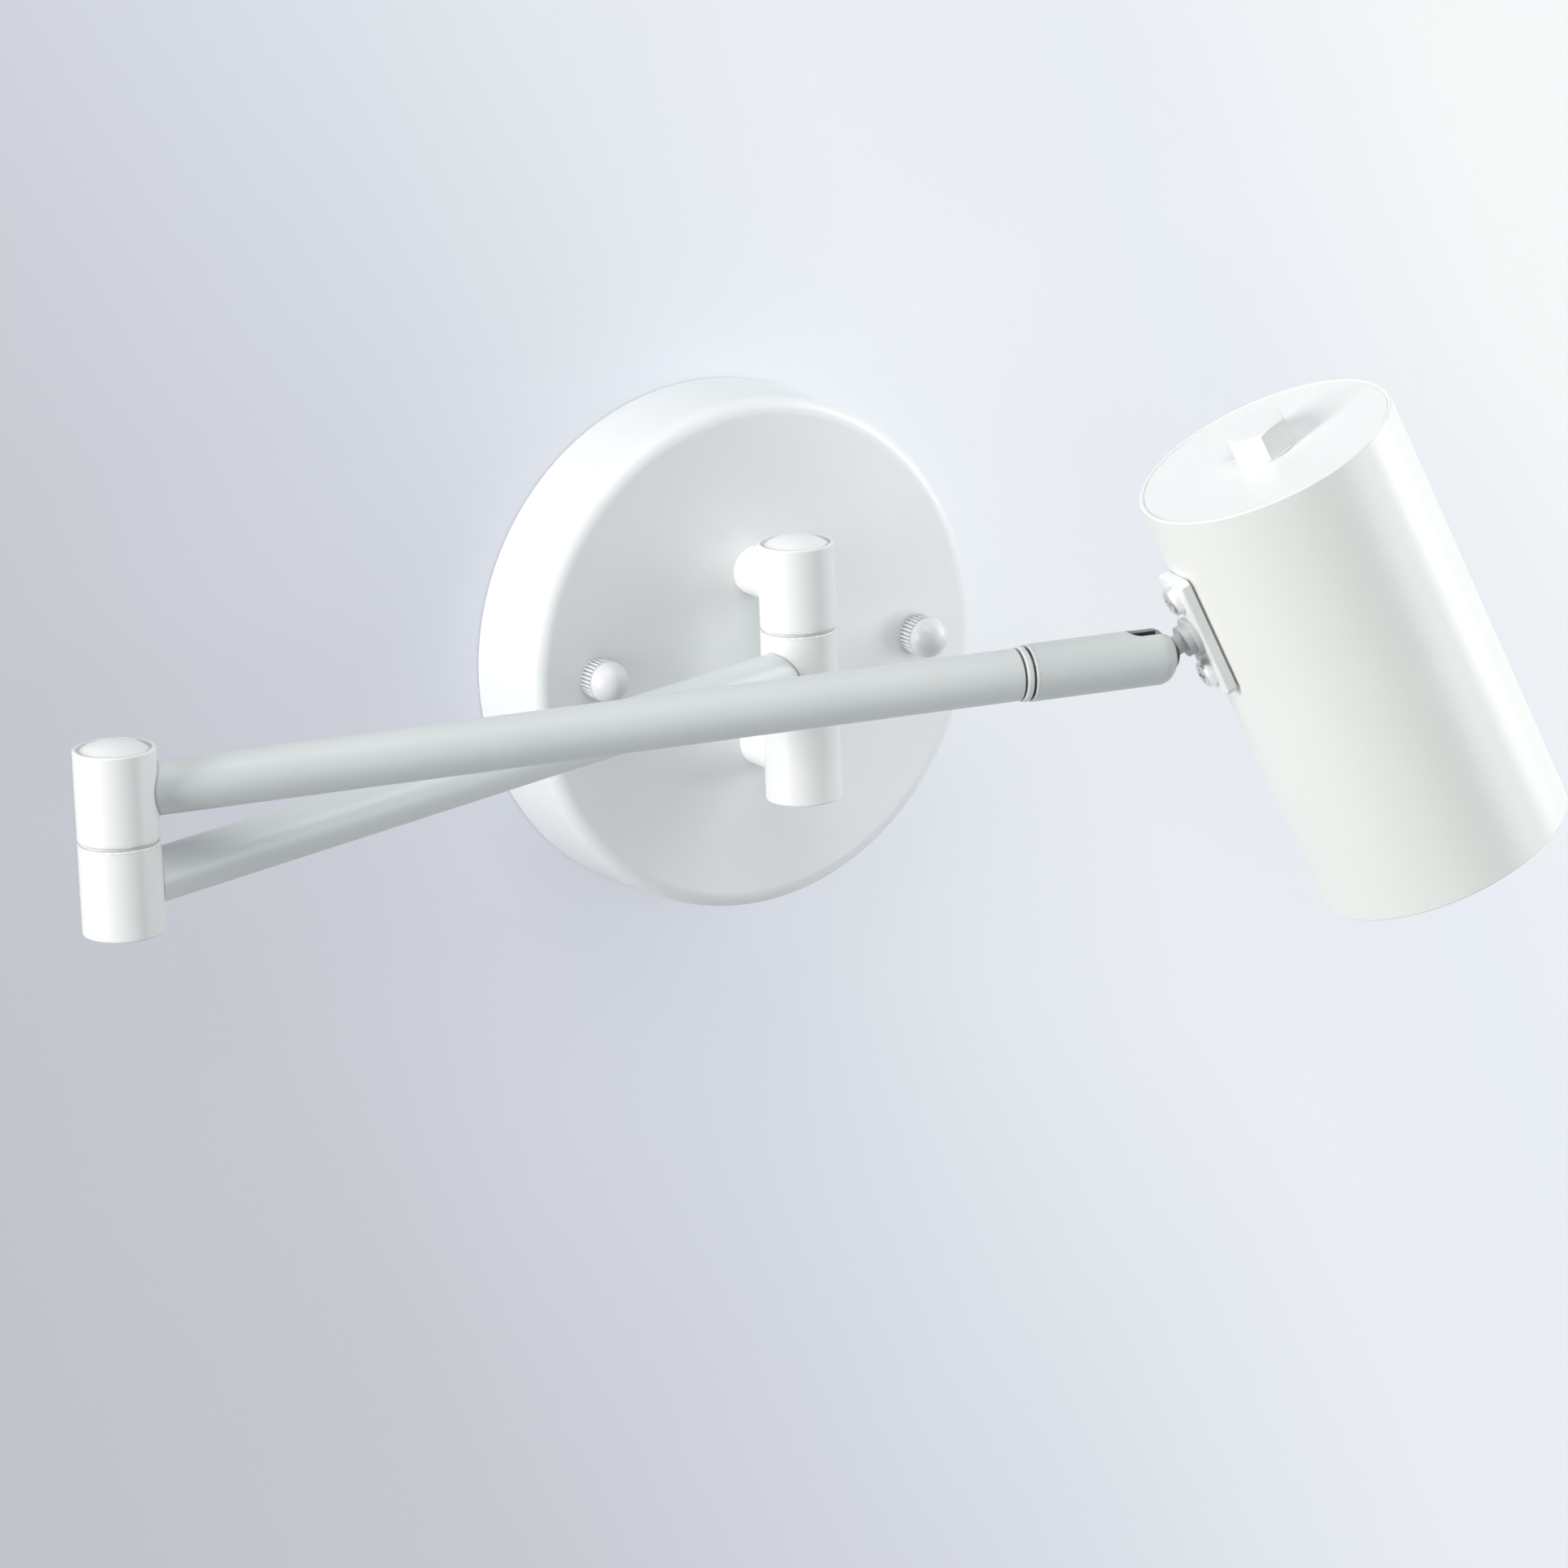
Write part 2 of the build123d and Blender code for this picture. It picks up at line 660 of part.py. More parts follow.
# The lower barrel is one pitch below the upper one, so its cap is the top cap turned over
# about the level halfway between them.
elbow_middle = Plane.XY.offset(barrel_pitch / 2)
with BuildPart() as elbow_bottom_cap:
    mirror(elbow_top_cap.part, about=elbow_middle)
publish(elbow_bottom_cap.part, "elbow_bottom_cap")

# ---- outer arm: the upper elbow barrel, the tube and the bush in its end

with BuildPart() as elbow_upper_barrel:
    with BuildSketch(elbow_base.offset(upper_floor)):
        Circle(barrel_radius)
    extrude(amount=barrel_height)
    fillet(elbow_upper_barrel.edges().filter_by(GeomType.CIRCLE), radius=barrel_edge_round)
    with BuildSketch(elbow_base.offset(cavity_floor)):
        Circle(barrel_cavity_radius)
    extrude(amount=barrel_height, mode=Mode.SUBTRACT)
    with BuildSketch(elbow_base.offset(barrel_top)):
        Circle(barrel_rim_radius)
    extrude(amount=-barrel_rim_depth, mode=Mode.SUBTRACT)
    with BuildSketch(elbow_base.offset(upper_floor)):
        Circle(barrel_bore_radius)
    extrude(amount=barrel_floor, mode=Mode.SUBTRACT)
    with BuildSketch(outer_line):
        Circle(tube_hole_radius)
    extrude(amount=2 * barrel_radius, mode=Mode.SUBTRACT)
publish(elbow_upper_barrel.part, "elbow_upper_barrel")

ball_bore_radius = ball_radius + running_fit
mouth_ahead = sqrt(ball_bore_radius**2 - mouth_radius**2)
tip_end = ball_reach + mouth_ahead
tip_start = tip_end - tip_length
nose_inset = tip_nose_round - tip_radius + mouth_radius
nose_start = tip_end - sqrt(tip_nose_round**2 - nose_inset**2)
ring_end = tip_start - groove_width
ring_start = ring_end - ring_width
tube_end = ring_start - groove_width
with BuildPart() as outer_arm_tube:
    with BuildSketch(outer_line):
        Circle(tube_radius)
        Circle(tube_bore_radius, mode=Mode.SUBTRACT)
    extrude(amount=tube_end)
    with BuildSketch(elbow_base.offset(upper_floor)):
        Circle(barrel_cavity_radius)
    extrude(amount=barrel_height, mode=Mode.SUBTRACT)
publish(outer_arm_tube.part, "outer_arm_tube")

bush_start = tube_end - bush_length
with BuildPart() as tube_end_bush:
    with BuildSketch(outer_line.offset(bush_start)):
        Circle(tube_bore_radius - fixed_fit)
    extrude(amount=bush_length)
    with BuildSketch(outer_line.offset(tube_end)):
        Circle(groove_radius)
    extrude(amount=groove_width - face_gap)
    with BuildSketch(outer_line.offset(bush_start)):
        Circle(spigot_radius + running_fit)
    extrude(amount=bush_length + groove_width, mode=Mode.SUBTRACT)
publish(tube_end_bush.part, "tube_end_bush")

# ---- swivel tip: spigot, clip, ring, slotted housing and the ball's seat

spigot_start = bush_start - clip_thickness - face_gap - spigot_tail
plug_end = ball_reach - seat_front - seat_length - spring_room
with BuildPart() as tip_spigot:
    with BuildSketch(outer_line.offset(spigot_start)):
        Circle(spigot_radius)
    extrude(amount=ring_end - spigot_start)
    with BuildSketch(outer_line.offset(ring_end)):
        Circle(groove_radius)
    extrude(amount=groove_width)
    with BuildSketch(outer_line.offset(tip_start)):
        Circle(ball_bore_radius - fixed_fit)
    extrude(amount=plug_end - tip_start)
    with BuildSketch(outer_line.offset(spigot_start)):
        Circle(spigot_bore_radius)
    extrude(amount=plug_end - spigot_start, mode=Mode.SUBTRACT)
publish(tip_spigot.part, "tip_spigot")

with BuildPart() as spigot_clip:
    with BuildSketch(outer_line.offset(bush_start - face_gap - clip_thickness)):
        Circle(clip_radius)
        Circle(spigot_radius + fixed_fit, mode=Mode.SUBTRACT)
        with Locations((-clip_radius, 0)):
            Rectangle(clip_radius, clip_gap, mode=Mode.SUBTRACT)
    extrude(amount=clip_thickness)
publish(spigot_clip.part, "spigot_clip")

with BuildPart() as collar_ring:
    with BuildSketch(outer_line.offset(ring_start)):
        Circle(ring_radius)
    extrude(amount=ring_width)
    fillet(collar_ring.edges().filter_by(GeomType.CIRCLE), radius=ring_edge_round)
    with BuildSketch(outer_line.offset(ring_start)):
        Circle(spigot_radius + fixed_fit)
    extrude(amount=ring_width, mode=Mode.SUBTRACT)
publish(collar_ring.part, "collar_ring")

with BuildPart() as swivel_tip:
    with BuildSketch(outer_section):
        with BuildLine():
            Polyline(
                (ball_bore_radius, ball_reach),
                (ball_bore_radius, tip_start),
                (tip_radius, tip_start),
                (tip_radius, nose_start),
            )
            RadiusArc((mouth_radius, tip_end), (tip_radius, nose_start), tip_nose_round)
            RadiusArc((mouth_radius, tip_end), (ball_bore_radius, ball_reach), ball_bore_radius)
        make_face()
    revolve(axis=outer_axis)
    tip_rims = swivel_tip.edges().filter_by(GeomType.CIRCLE)
    tip_rims = tip_rims.filter_by(lambda rim: abs(rim.radius - tip_radius) < fixed_fit)
    back_rim = tip_rims.sort_by(outer_axis)[0]
    fillet(back_rim, radius=tip_edge_round)
    slot_plane = Plane(origin=ball_center, x_dir=outer_dir, z_dir=up)
    slot_round = slot_width / 2
    slot_front_end = 2 * tip_radius
    slot_straight = slot_front_end + slot_back - slot_round
    with BuildSketch(slot_plane):
        with Locations((slot_front_end - slot_straight / 2, 0)):
            Rectangle(slot_straight, slot_width)
        with Locations((slot_round - slot_back, 0)):
            Circle(slot_round)
    extrude(amount=2 * tip_radius, mode=Mode.SUBTRACT)
publish(swivel_tip.part, "swivel_tip")

seat_front_radius = sqrt(ball_bore_radius**2 - seat_front**2)
seat_bottom = sqrt(ball_bore_radius**2 - seat_bore_radius**2)
seat_outer_radius = ball_bore_radius - loose_fit
with BuildPart() as ball_seat:
    with BuildSketch(outer_section):
        with BuildLine():
            Polyline(
                (seat_front_radius, ball_reach - seat_front),
                (seat_outer_radius, ball_reach - seat_front),
                (seat_outer_radius, ball_reach - seat_front - seat_length),
                (seat_bore_radius, ball_reach - seat_front - seat_length),
                (seat_bore_radius, ball_reach - seat_bottom),
            )
            RadiusArc(
                (seat_bore_radius, ball_reach - seat_bottom),
                (seat_front_radius, ball_reach - seat_front),
                -ball_bore_radius,
            )
        make_face()
    revolve(axis=outer_axis)
publish(ball_seat.part, "ball_seat")

disc_height = (spring_room - face_gap) / 2
disc_meeting = plug_end + disc_height
with BuildPart() as seat_disc_springs:
    for narrow_at, lean in ((plug_end, 1), (plug_end + 2 * disc_height, -1)):
        wide_face = disc_meeting - lean * fixed_fit
        with BuildSketch(outer_section):
            with BuildLine():
                Polyline(
                    (disc_spring_inner_radius, narrow_at),
                    (disc_spring_inner_radius, narrow_at + lean * disc_spring_thickness),
                    (disc_spring_outer_radius, wide_face),
                    (disc_spring_outer_radius, wide_face - lean * disc_spring_thickness),
                    close=True,
                )
            make_face()
        revolve(axis=outer_axis)
publish(seat_disc_springs.part, "seat_disc_springs")

# ---- ball stud: the stud turns in the bracket and its nut holds it there

plate_back = shade_standoff - face_gap
plate_front = plate_back - bracket_thickness
inner_wall_radius = shade_radius - shade_wall
stud_axis_to_shade_axis = shade_standoff + shade_radius


def inside_face(reach):
    """Distance from the ball to the shade's inner face at a reach from the stud's axis."""
    return stud_axis_to_shade_axis - sqrt(inner_wall_radius**2 - reach**2)


stud_washer_face = inside_face(stud_washer_radius) + seat_gap
stud_nut_face = stud_washer_face + stud_washer_thickness + face_gap
stud_end = stud_nut_face + stud_nut_height + stud_end_past_nut
ball_back = sqrt(ball_radius**2 - stud_bore_radius**2)
ball_front = sqrt(ball_radius**2 - neck_radius**2)
collar_base = plate_front - stud_collar_height
boss_base = collar_base - stud_boss_height
with BuildPart() as ball_stud:
    with BuildSketch(stem_section):
        with BuildLine():
            Polyline(
                (neck_radius, ball_front),
                (neck_radius, boss_base),
                (stud_boss_radius, boss_base),
                (stud_boss_radius, collar_base),
                (stud_collar_radius, collar_base),
                (stud_collar_radius, plate_front),
                (stud_thread_radius, plate_front),
                (stud_thread_radius, stud_end),
                (stud_bore_radius, stud_end),
                (stud_bore_radius, -ball_back),
            )
            ThreePointArc((stud_bore_radius, -ball_back), (ball_radius, 0), (neck_radius, ball_front))
        make_face()
    revolve(axis=stem_axis)
publish(ball_stud.part, "ball_stud")

with BuildPart() as stud_spring_washer:
    with BuildSketch(stem_line.offset(stud_washer_face)):
        Circle(stud_washer_radius)
        Circle(stud_thread_radius + loose_fit, mode=Mode.SUBTRACT)
    extrude(amount=stud_washer_thickness)
publish(stud_spring_washer.part, "stud_spring_washer")

with BuildPart() as stud_nut:
    with BuildSketch(stem_line.offset(stud_nut_face)):
        RegularPolygon(stud_nut_across / 2, side_count=6, major_radius=False)
        Circle(stud_thread_radius + fixed_fit, mode=Mode.SUBTRACT)
    extrude(amount=stud_nut_height)
publish(stud_nut.part, "stud_nut")

# ---- bracket on the shade

bracket_screw_places = [(-bracket_screw_offset, 0), (bracket_screw_offset, 0)]
with BuildPart() as shade_bracket:
    with BuildSketch(stem_line.offset(plate_front)):
        plate = Rectangle(bracket_length, bracket_width)
        chamfer(plate.vertices(), length=bracket_corner)
        Circle(stud_thread_radius + running_fit, mode=Mode.SUBTRACT)
        with Locations(*bracket_screw_places):
            Circle(screw_radius + loose_fit, mode=Mode.SUBTRACT)
    extrude(amount=bracket_thickness)
    front_outline = shade_bracket.faces().sort_by(stem_axis)[0].outer_wire().edges()
    fillet(front_outline, radius=bracket_edge_round)
publish(shade_bracket.part, "shade_bracket")

with BuildPart() as bracket_screws:
    with BuildSketch(stem_line.offset(plate_front)):
        with Locations(*bracket_screw_places):
            Circle(bracket_head_radius)
    extrude(amount=-bracket_head_height)
    head_tops = bracket_screws.faces().group_by(stem_axis)[0].edges()
    fillet(head_tops, radius=bracket_head_round)
    with BuildSketch(stem_line.offset(plate_front)):
        with Locations(*bracket_screw_places):
            Circle(screw_radius)
    extrude(amount=bracket_screw_length)
    with BuildSketch(stem_line.offset(plate_front - bracket_head_height)):
        with Locations(*bracket_screw_places):
            Rectangle(cross_length, slot_cut)
            Rectangle(slot_cut, cross_length)
    extrude(amount=cross_depth, mode=Mode.SUBTRACT)
publish(bracket_screws.part, "bracket_screws")

bracket_nut_corner = bracket_nut_across / sqrt(3)
bracket_nut_face = inside_face(bracket_nut_corner) + seat_gap
with BuildPart() as bracket_nuts:
    with BuildSketch(stem_line.offset(bracket_nut_face)):
        with Locations(*bracket_screw_places):
            RegularPolygon(
                bracket_nut_across / 2,
                side_count=6,
                major_radius=False,
                rotation=bracket_nut_turn,
            )
            Circle(screw_radius + fixed_fit, mode=Mode.SUBTRACT)
    extrude(amount=bracket_nut_height)
publish(bracket_nuts.part, "bracket_nuts")

# ---- shade, lid and the hexagon nut on top

with BuildPart() as shade_tube:
    with BuildSketch(shade_line):
        Circle(shade_radius)
        Circle(inner_wall_radius, mode=Mode.SUBTRACT)
    extrude(amount=shade_length)
    fillet(shade_tube.edges().filter_by(GeomType.CIRCLE), radius=shade_rim_round)
    with BuildSketch(stem_line.offset(plate_back)):
        Circle(stud_thread_radius + loose_fit)
        with Locations(*bracket_screw_places):
            Circle(screw_radius + loose_fit)
    extrude(amount=shade_radius / 2, mode=Mode.SUBTRACT)
publish(shade_tube.part, "shade_tube")

lid_top = lid_recess
lid_under = lid_top + lid_thickness
with BuildPart() as shade_lid:
    with BuildSketch(shade_line.offset(lid_top)):
        Circle(inner_wall_radius - fixed_fit)
        Circle(socket_pipe_radius + loose_fit, mode=Mode.SUBTRACT)
    extrude(amount=lid_thickness)
publish(shade_lid.part, "shade_lid")

hex_top = lid_top - hex_flange_height - hex_height
hex_corner = hex_across / sqrt(3)
with BuildPart() as lid_hex_nut:
    with BuildSketch(shade_line.offset(lid_top)):
        Circle(hex_flange_radius)
    extrude(amount=-hex_flange_height)
    with BuildSketch(shade_line.offset(lid_top - hex_flange_height)):
        RegularPolygon(hex_across / 2, side_count=6, major_radius=False, rotation=hex_turn)
    extrude(amount=-hex_height)
    with BuildSketch(shade_section):
        with BuildLine():
            Polyline(
                (hex_corner - hex_chamfer, hex_top),
                (hex_corner + hex_chamfer, hex_top),
                (hex_corner + hex_chamfer, hex_top + hex_chamfer),
                close=True,
            )
        make_face()
    revolve(axis=shade_axis, mode=Mode.SUBTRACT)
    with BuildSketch(shade_line.offset(lid_top)):
        Circle(socket_pipe_radius + fixed_fit)
    extrude(amount=-(socket_pipe_in_hex + face_gap), mode=Mode.SUBTRACT)
publish(lid_hex_nut.part, "lid_hex_nut")

# ---- lampholder under the lid

top_nut_base = lid_under
strap_top = top_nut_base + socket_nut_height
strap_under = strap_top + strap_thickness
low_nut_base = strap_under
pipe_end = low_nut_base + socket_nut_height + pin_end_past_nut
with BuildPart() as socket_pipe:
    with BuildSketch(shade_line.offset(lid_top - socket_pipe_in_hex)):
        Circle(socket_pipe_radius)
        Circle(socket_pipe_bore, mode=Mode.SUBTRACT)
    extrude(amount=pipe_end - lid_top + socket_pipe_in_hex)
publish(socket_pipe.part, "socket_pipe")

with BuildPart() as socket_pipe_nuts:
    for nut_base in (top_nut_base, low_nut_base):
        with BuildSketch(shade_line.offset(nut_base)):
            RegularPolygon(socket_nut_across / 2, side_count=6, major_radius=False)
            Circle(socket_pipe_radius + fixed_fit, mode=Mode.SUBTRACT)
        extrude(amount=socket_nut_height)
publish(socket_pipe_nuts.part, "socket_pipe_nuts")

holder_top = pipe_end + holder_drop
holder_end = holder_top + holder_length
strap_inner_half = holder_radius + face_gap
strap_outer_half = strap_inner_half + strap_thickness
strap_leg_end = holder_top + strap_leg / 2
strap_outline = [
    (-strap_outer_half, strap_top),
    (strap_outer_half, strap_top),
    (strap_outer_half, strap_leg_end),
    (strap_inner_half, strap_leg_end),
    (strap_inner_half, strap_under),
    (-strap_inner_half, strap_under),
    (-strap_inner_half, strap_leg_end),
    (-strap_outer_half, strap_leg_end),
]
holder_screw_level = strap_leg_end - strap_width / 2
side_screw_plane = Plane(
    origin=shade_top - shade_up * holder_screw_level, x_dir=stem_dir, z_dir=shade_side
)
with BuildPart() as holder_strap:
    with BuildSketch(shade_section):
        with BuildLine():
            Polyline(*strap_outline, close=True)
        make_face()
    extrude(amount=strap_width / 2, both=True)
    with BuildSketch(shade_line.offset(strap_top)):
        Circle(socket_pipe_radius + loose_fit)
    extrude(amount=strap_thickness, mode=Mode.SUBTRACT)
    with BuildSketch(side_screw_plane):
        Circle(holder_screw_radius + loose_fit)
    extrude(amount=2 * holder_radius, both=True, mode=Mode.SUBTRACT)
publish(holder_strap.part, "holder_strap")

pin_places = [(-holder_pin_spacing / 2, 0), (holder_pin_spacing / 2, 0)]
screw_bottom = holder_radius - holder_screw_depth
with BuildPart() as lampholder:
    with BuildSketch(shade_line.offset(holder_top)):
        Circle(holder_radius)
    extrude(amount=holder_length)
    fillet(lampholder.edges().filter_by(GeomType.CIRCLE), radius=holder_round)
    with BuildSketch(shade_line.offset(holder_end - holder_key_depth)):
        with Locations(*pin_places):
            Circle(holder_key_radius)
    extrude(amount=holder_key_depth, mode=Mode.SUBTRACT)
    for side in (1, -1):
        with BuildSketch(side_screw_plane.offset(side * screw_bottom)):
            Circle(holder_screw_radius + fixed_fit)
        extrude(amount=side * holder_radius, mode=Mode.SUBTRACT)
publish(lampholder.part, "lampholder")

with BuildPart() as holder_screws:
    for side in (1, -1):
        with BuildSketch(side_screw_plane.offset(side * (screw_bottom + face_gap))):
            Circle(holder_screw_radius)
        extrude(amount=side * (strap_outer_half - screw_bottom - face_gap))
        with BuildSketch(side_screw_plane.offset(side * strap_outer_half)):
            Circle(holder_screw_head_radius)
        extrude(amount=side * holder_screw_head_height)
publish(holder_screws.part, "holder_screws")

# ---- reflector lamp in the holder

lamp_base_top = holder_end + face_gap
lamp_base_end = lamp_base_top + lamp_base_length
lamp_end = lamp_base_top + lamp_length
lamp_rim_top = lamp_end - lamp_rim_height
with BuildPart() as lamp_pins:
    with BuildSketch(shade_line.offset(lamp_base_top)):
        with Locations(*pin_places):
            Circle(lamp_pin_neck_radius)
    extrude(amount=-lamp_pin_length)
    with BuildSketch(shade_line.offset(lamp_base_top - lamp_pin_length)):
        with Locations(*pin_places):
            Circle(lamp_pin_radius)
    extrude(amount=lamp_pin_head_length)
publish(lamp_pins.part, "lamp_pins")

with BuildPart() as lamp_base:
    with BuildSketch(shade_line.offset(lamp_base_top)):
        Circle(lamp_base_radius)
    extrude(amount=lamp_base_length)
    fillet(lamp_base.edges().filter_by(GeomType.CIRCLE), radius=holder_round)
publish(lamp_base.part, "lamp_base")

lamp_bowl_radius = lamp_face_radius - lamp_shell
with BuildPart() as lamp_reflector:
    with BuildSketch(shade_section):
        with BuildLine():
            Polyline(
                (0, lamp_base_end + lamp_shell),
                (0, lamp_base_end),
                (lamp_base_radius, lamp_base_end),
            )
            lamp_flare = Line(
                (lamp_base_radius, lamp_base_end),
                (lamp_face_radius, lamp_rim_top),
            )
            Polyline(
                (lamp_face_radius, lamp_rim_top),
                (lamp_face_radius, lamp_end),
                (lamp_bowl_radius, lamp_end),
                (lamp_bowl_radius, lamp_rim_top),
                (lamp_base_radius - lamp_shell, lamp_base_end + lamp_shell),
                (0, lamp_base_end + lamp_shell),
            )
        make_face()
    revolve(axis=shade_axis)
publish(lamp_reflector.part, "lamp_reflector")

with BuildPart() as lamp_lens:
    with BuildSketch(shade_line.offset(lamp_end - lens_thickness - face_gap)):
        Circle(lamp_bowl_radius - fixed_fit)
    extrude(amount=lens_thickness)
publish(lamp_lens.part, "lamp_lens")

# ---- leads: a pair in each rigid length, ending at the joints

lead_sides = (-lead_half_gap, lead_half_gap)
wire_level = block_height / 2 - screw_end_recess
with BuildPart() as wall_leads:
    for side in lead_sides:
        pole = pole_offset if side > 0 else -pole_offset
        pole_start = bar_dir * pole + out * (block_back + pole_depth)
        route = [
            pole_start + up * wire_level,
            Vector(side, 0, post_level) + out * (block_back + pole_depth),
            Vector(side, 0, post_level) + out * barrel_standoff,
            Vector(side, 0, 0) + out * barrel_standoff,
        ]
        with BuildLine():
            lead_path = FilletPolyline(*route, radius=lead_bend_radius)
        with BuildSketch(Plane(origin=lead_path @ 0, z_dir=lead_path % 0)):
            Circle(lead_radius)
        sweep(path=lead_path)
publish(wall_leads.part, "wall_leads")

lead_drop = sqrt((tube_bore_radius - lead_radius - face_gap) ** 2 - lead_half_gap**2)
inner_across = up.cross(inner_dir)
with BuildPart() as inner_arm_leads:
    for side in lead_sides:
        lead_base = hinge_center + inner_across * side - up * lead_drop
        route = [
            lead_base + inner_dir * (pin_radius + loose_fit),
            lead_base + inner_dir * inner_arm_length,
            elbow_center + inner_across * side + up * (pin_top + lead_end_above_pin),
        ]
        with BuildLine():
            lead_path = FilletPolyline(*route, radius=lead_bend_radius)
        with BuildSketch(Plane(origin=lead_path @ 0, z_dir=lead_path % 0)):
            Circle(lead_radius)
        sweep(path=lead_path)
publish(inner_arm_leads.part, "inner_arm_leads")

with BuildPart() as outer_arm_leads:
    with BuildSketch(outer_line.offset(barrel_cavity_radius + loose_fit)):
        with Locations((-lead_drop, -lead_half_gap), (-lead_drop, lead_half_gap)):
            Circle(lead_radius)
    extrude(amount=spigot_start - barrel_cavity_radius - 2 * loose_fit)
publish(outer_arm_leads.part, "outer_arm_leads")

# In the shade the pair leaves the stud's bore, climbs beside the lampholder and comes down
# into its top.
lead_climb = stud_axis_to_shade_axis - stud_end - loose_fit - lead_bend_radius - lead_radius
lead_landing = lead_climb - 2 * lead_bend_radius
lead_start = stud_axis_to_shade_axis - stud_end - loose_fit
lead_crest = holder_top - lead_bend_radius - lead_radius
with BuildPart() as shade_leads:
    for side in lead_sides:
        lead_base = shade_top + shade_side * side
        route = [
            lead_base - stem_dir * lead_start - shade_up * shade_top_above_stud,
            lead_base - stem_dir * lead_climb - shade_up * shade_top_above_stud,
            lead_base - stem_dir * lead_climb - shade_up * lead_crest,
            lead_base - stem_dir * lead_landing - shade_up * lead_crest,
            lead_base - stem_dir * lead_landing - shade_up * (holder_top - face_gap),
        ]
        with BuildLine():
            lead_path = FilletPolyline(*route, radius=lead_bend_radius - fixed_fit)
        with BuildSketch(Plane(origin=lead_path @ 0, z_dir=lead_path % 0)):
            Circle(lead_radius)
        sweep(path=lead_path)
publish(shade_leads.part, "shade_leads")
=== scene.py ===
import math
import bpy
import bmesh
from mathutils import Matrix, Vector


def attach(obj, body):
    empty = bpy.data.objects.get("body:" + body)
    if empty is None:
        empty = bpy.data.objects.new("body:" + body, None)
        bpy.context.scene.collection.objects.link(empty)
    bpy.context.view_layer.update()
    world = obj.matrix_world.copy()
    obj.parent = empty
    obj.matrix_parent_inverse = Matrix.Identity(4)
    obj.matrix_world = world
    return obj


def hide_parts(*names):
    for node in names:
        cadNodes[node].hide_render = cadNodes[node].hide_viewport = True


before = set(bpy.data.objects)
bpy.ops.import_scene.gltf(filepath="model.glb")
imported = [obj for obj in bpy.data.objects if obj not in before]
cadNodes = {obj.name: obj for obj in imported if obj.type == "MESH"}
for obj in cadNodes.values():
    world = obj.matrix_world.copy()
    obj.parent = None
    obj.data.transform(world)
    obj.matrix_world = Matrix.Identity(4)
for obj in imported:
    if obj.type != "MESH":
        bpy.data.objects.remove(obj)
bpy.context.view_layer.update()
print("frame loaded with", len(cadNodes), "nodes")

# the lamp's main lengths in metres and turns in degrees, as the frame has them at rest, so that
# a finish or a small piece can follow what carries it
lampShape = {"standoff": 0.041, "innerArm": 0.211, "innerTurn": -164.5, "barrelPitch": 0.020,
             "outerArm": 0.234, "outerTurn": -11.8, "headTilt": 23.7, "shadeAxis": 0.0408,
             "shadeRise": 0.0286, "lensDepth": 0.0849, "pipeThreadDepth": 0.0092,
             "studThreadStart": 0.0164, "canopyDepth": 0.0235, "postThreadStart": 0.0154,
             "fixingTurn": 2.8, "fixingOffset": 0.043, "fixingThreadStart": 0.0070}

worldUp = Vector((0.0, 0.0, 1.0))
roomward = Vector((0.0, -1.0, 0.0))
hingePlace = roomward * lampShape["standoff"]
innerTurn = math.radians(lampShape["innerTurn"])
innerAlong = Vector((math.cos(innerTurn), math.sin(innerTurn), 0.0))
elbowPlace = hingePlace + innerAlong * lampShape["innerArm"]
outerTurn = math.radians(lampShape["outerTurn"])
outerAlong = Vector((math.cos(outerTurn), math.sin(outerTurn), 0.0))
outerStart = elbowPlace + worldUp * lampShape["barrelPitch"]
ballPlace = outerStart + outerAlong * lampShape["outerArm"]
headTilt = math.radians(lampShape["headTilt"])
stemAlong = outerAlong * math.cos(headTilt) + worldUp * math.sin(headTilt)
shadeUp = worldUp * math.cos(headTilt) - outerAlong * math.sin(headTilt)
shadeTop = ballPlace + stemAlong * lampShape["shadeAxis"] + shadeUp * lampShape["shadeRise"]
fixingTurn = math.radians(lampShape["fixingTurn"])
fixingAlong = Vector((math.cos(fixingTurn), 0.0, -math.sin(fixingTurn)))
fixingSides = [fixingAlong * side * lampShape["fixingOffset"] for side in (-1, 1)]


def placeFacing(origin, along, across):
    # a placement whose Z runs along one direction and whose X lies near another
    z = along.normalized()
    x = (across - z * across.dot(z)).normalized()
    y = z.cross(x)
    turn = Matrix((x, y, z)).transposed().to_4x4()
    return Matrix.Translation(origin) @ turn


# node trees: one class does sums on sockets, the other makes nodes


class Flow:
    def __init__(self, maker, socket):
        self.maker = maker
        self.socket = socket

    def sum(self, operation, first, second):
        return self.maker.put("ShaderNodeMath", {"operation": operation}, {0: first, 1: second})

    def __add__(self, other):
        return self.sum("ADD", self, other)

    def __radd__(self, other):
        return self.sum("ADD", other, self)

    def __sub__(self, other):
        return self.sum("SUBTRACT", self, other)

    def __rsub__(self, other):
        return self.sum("SUBTRACT", other, self)

    def __mul__(self, other):
        return self.sum("MULTIPLY", self, other)

    def __rmul__(self, other):
        return self.sum("MULTIPLY", other, self)


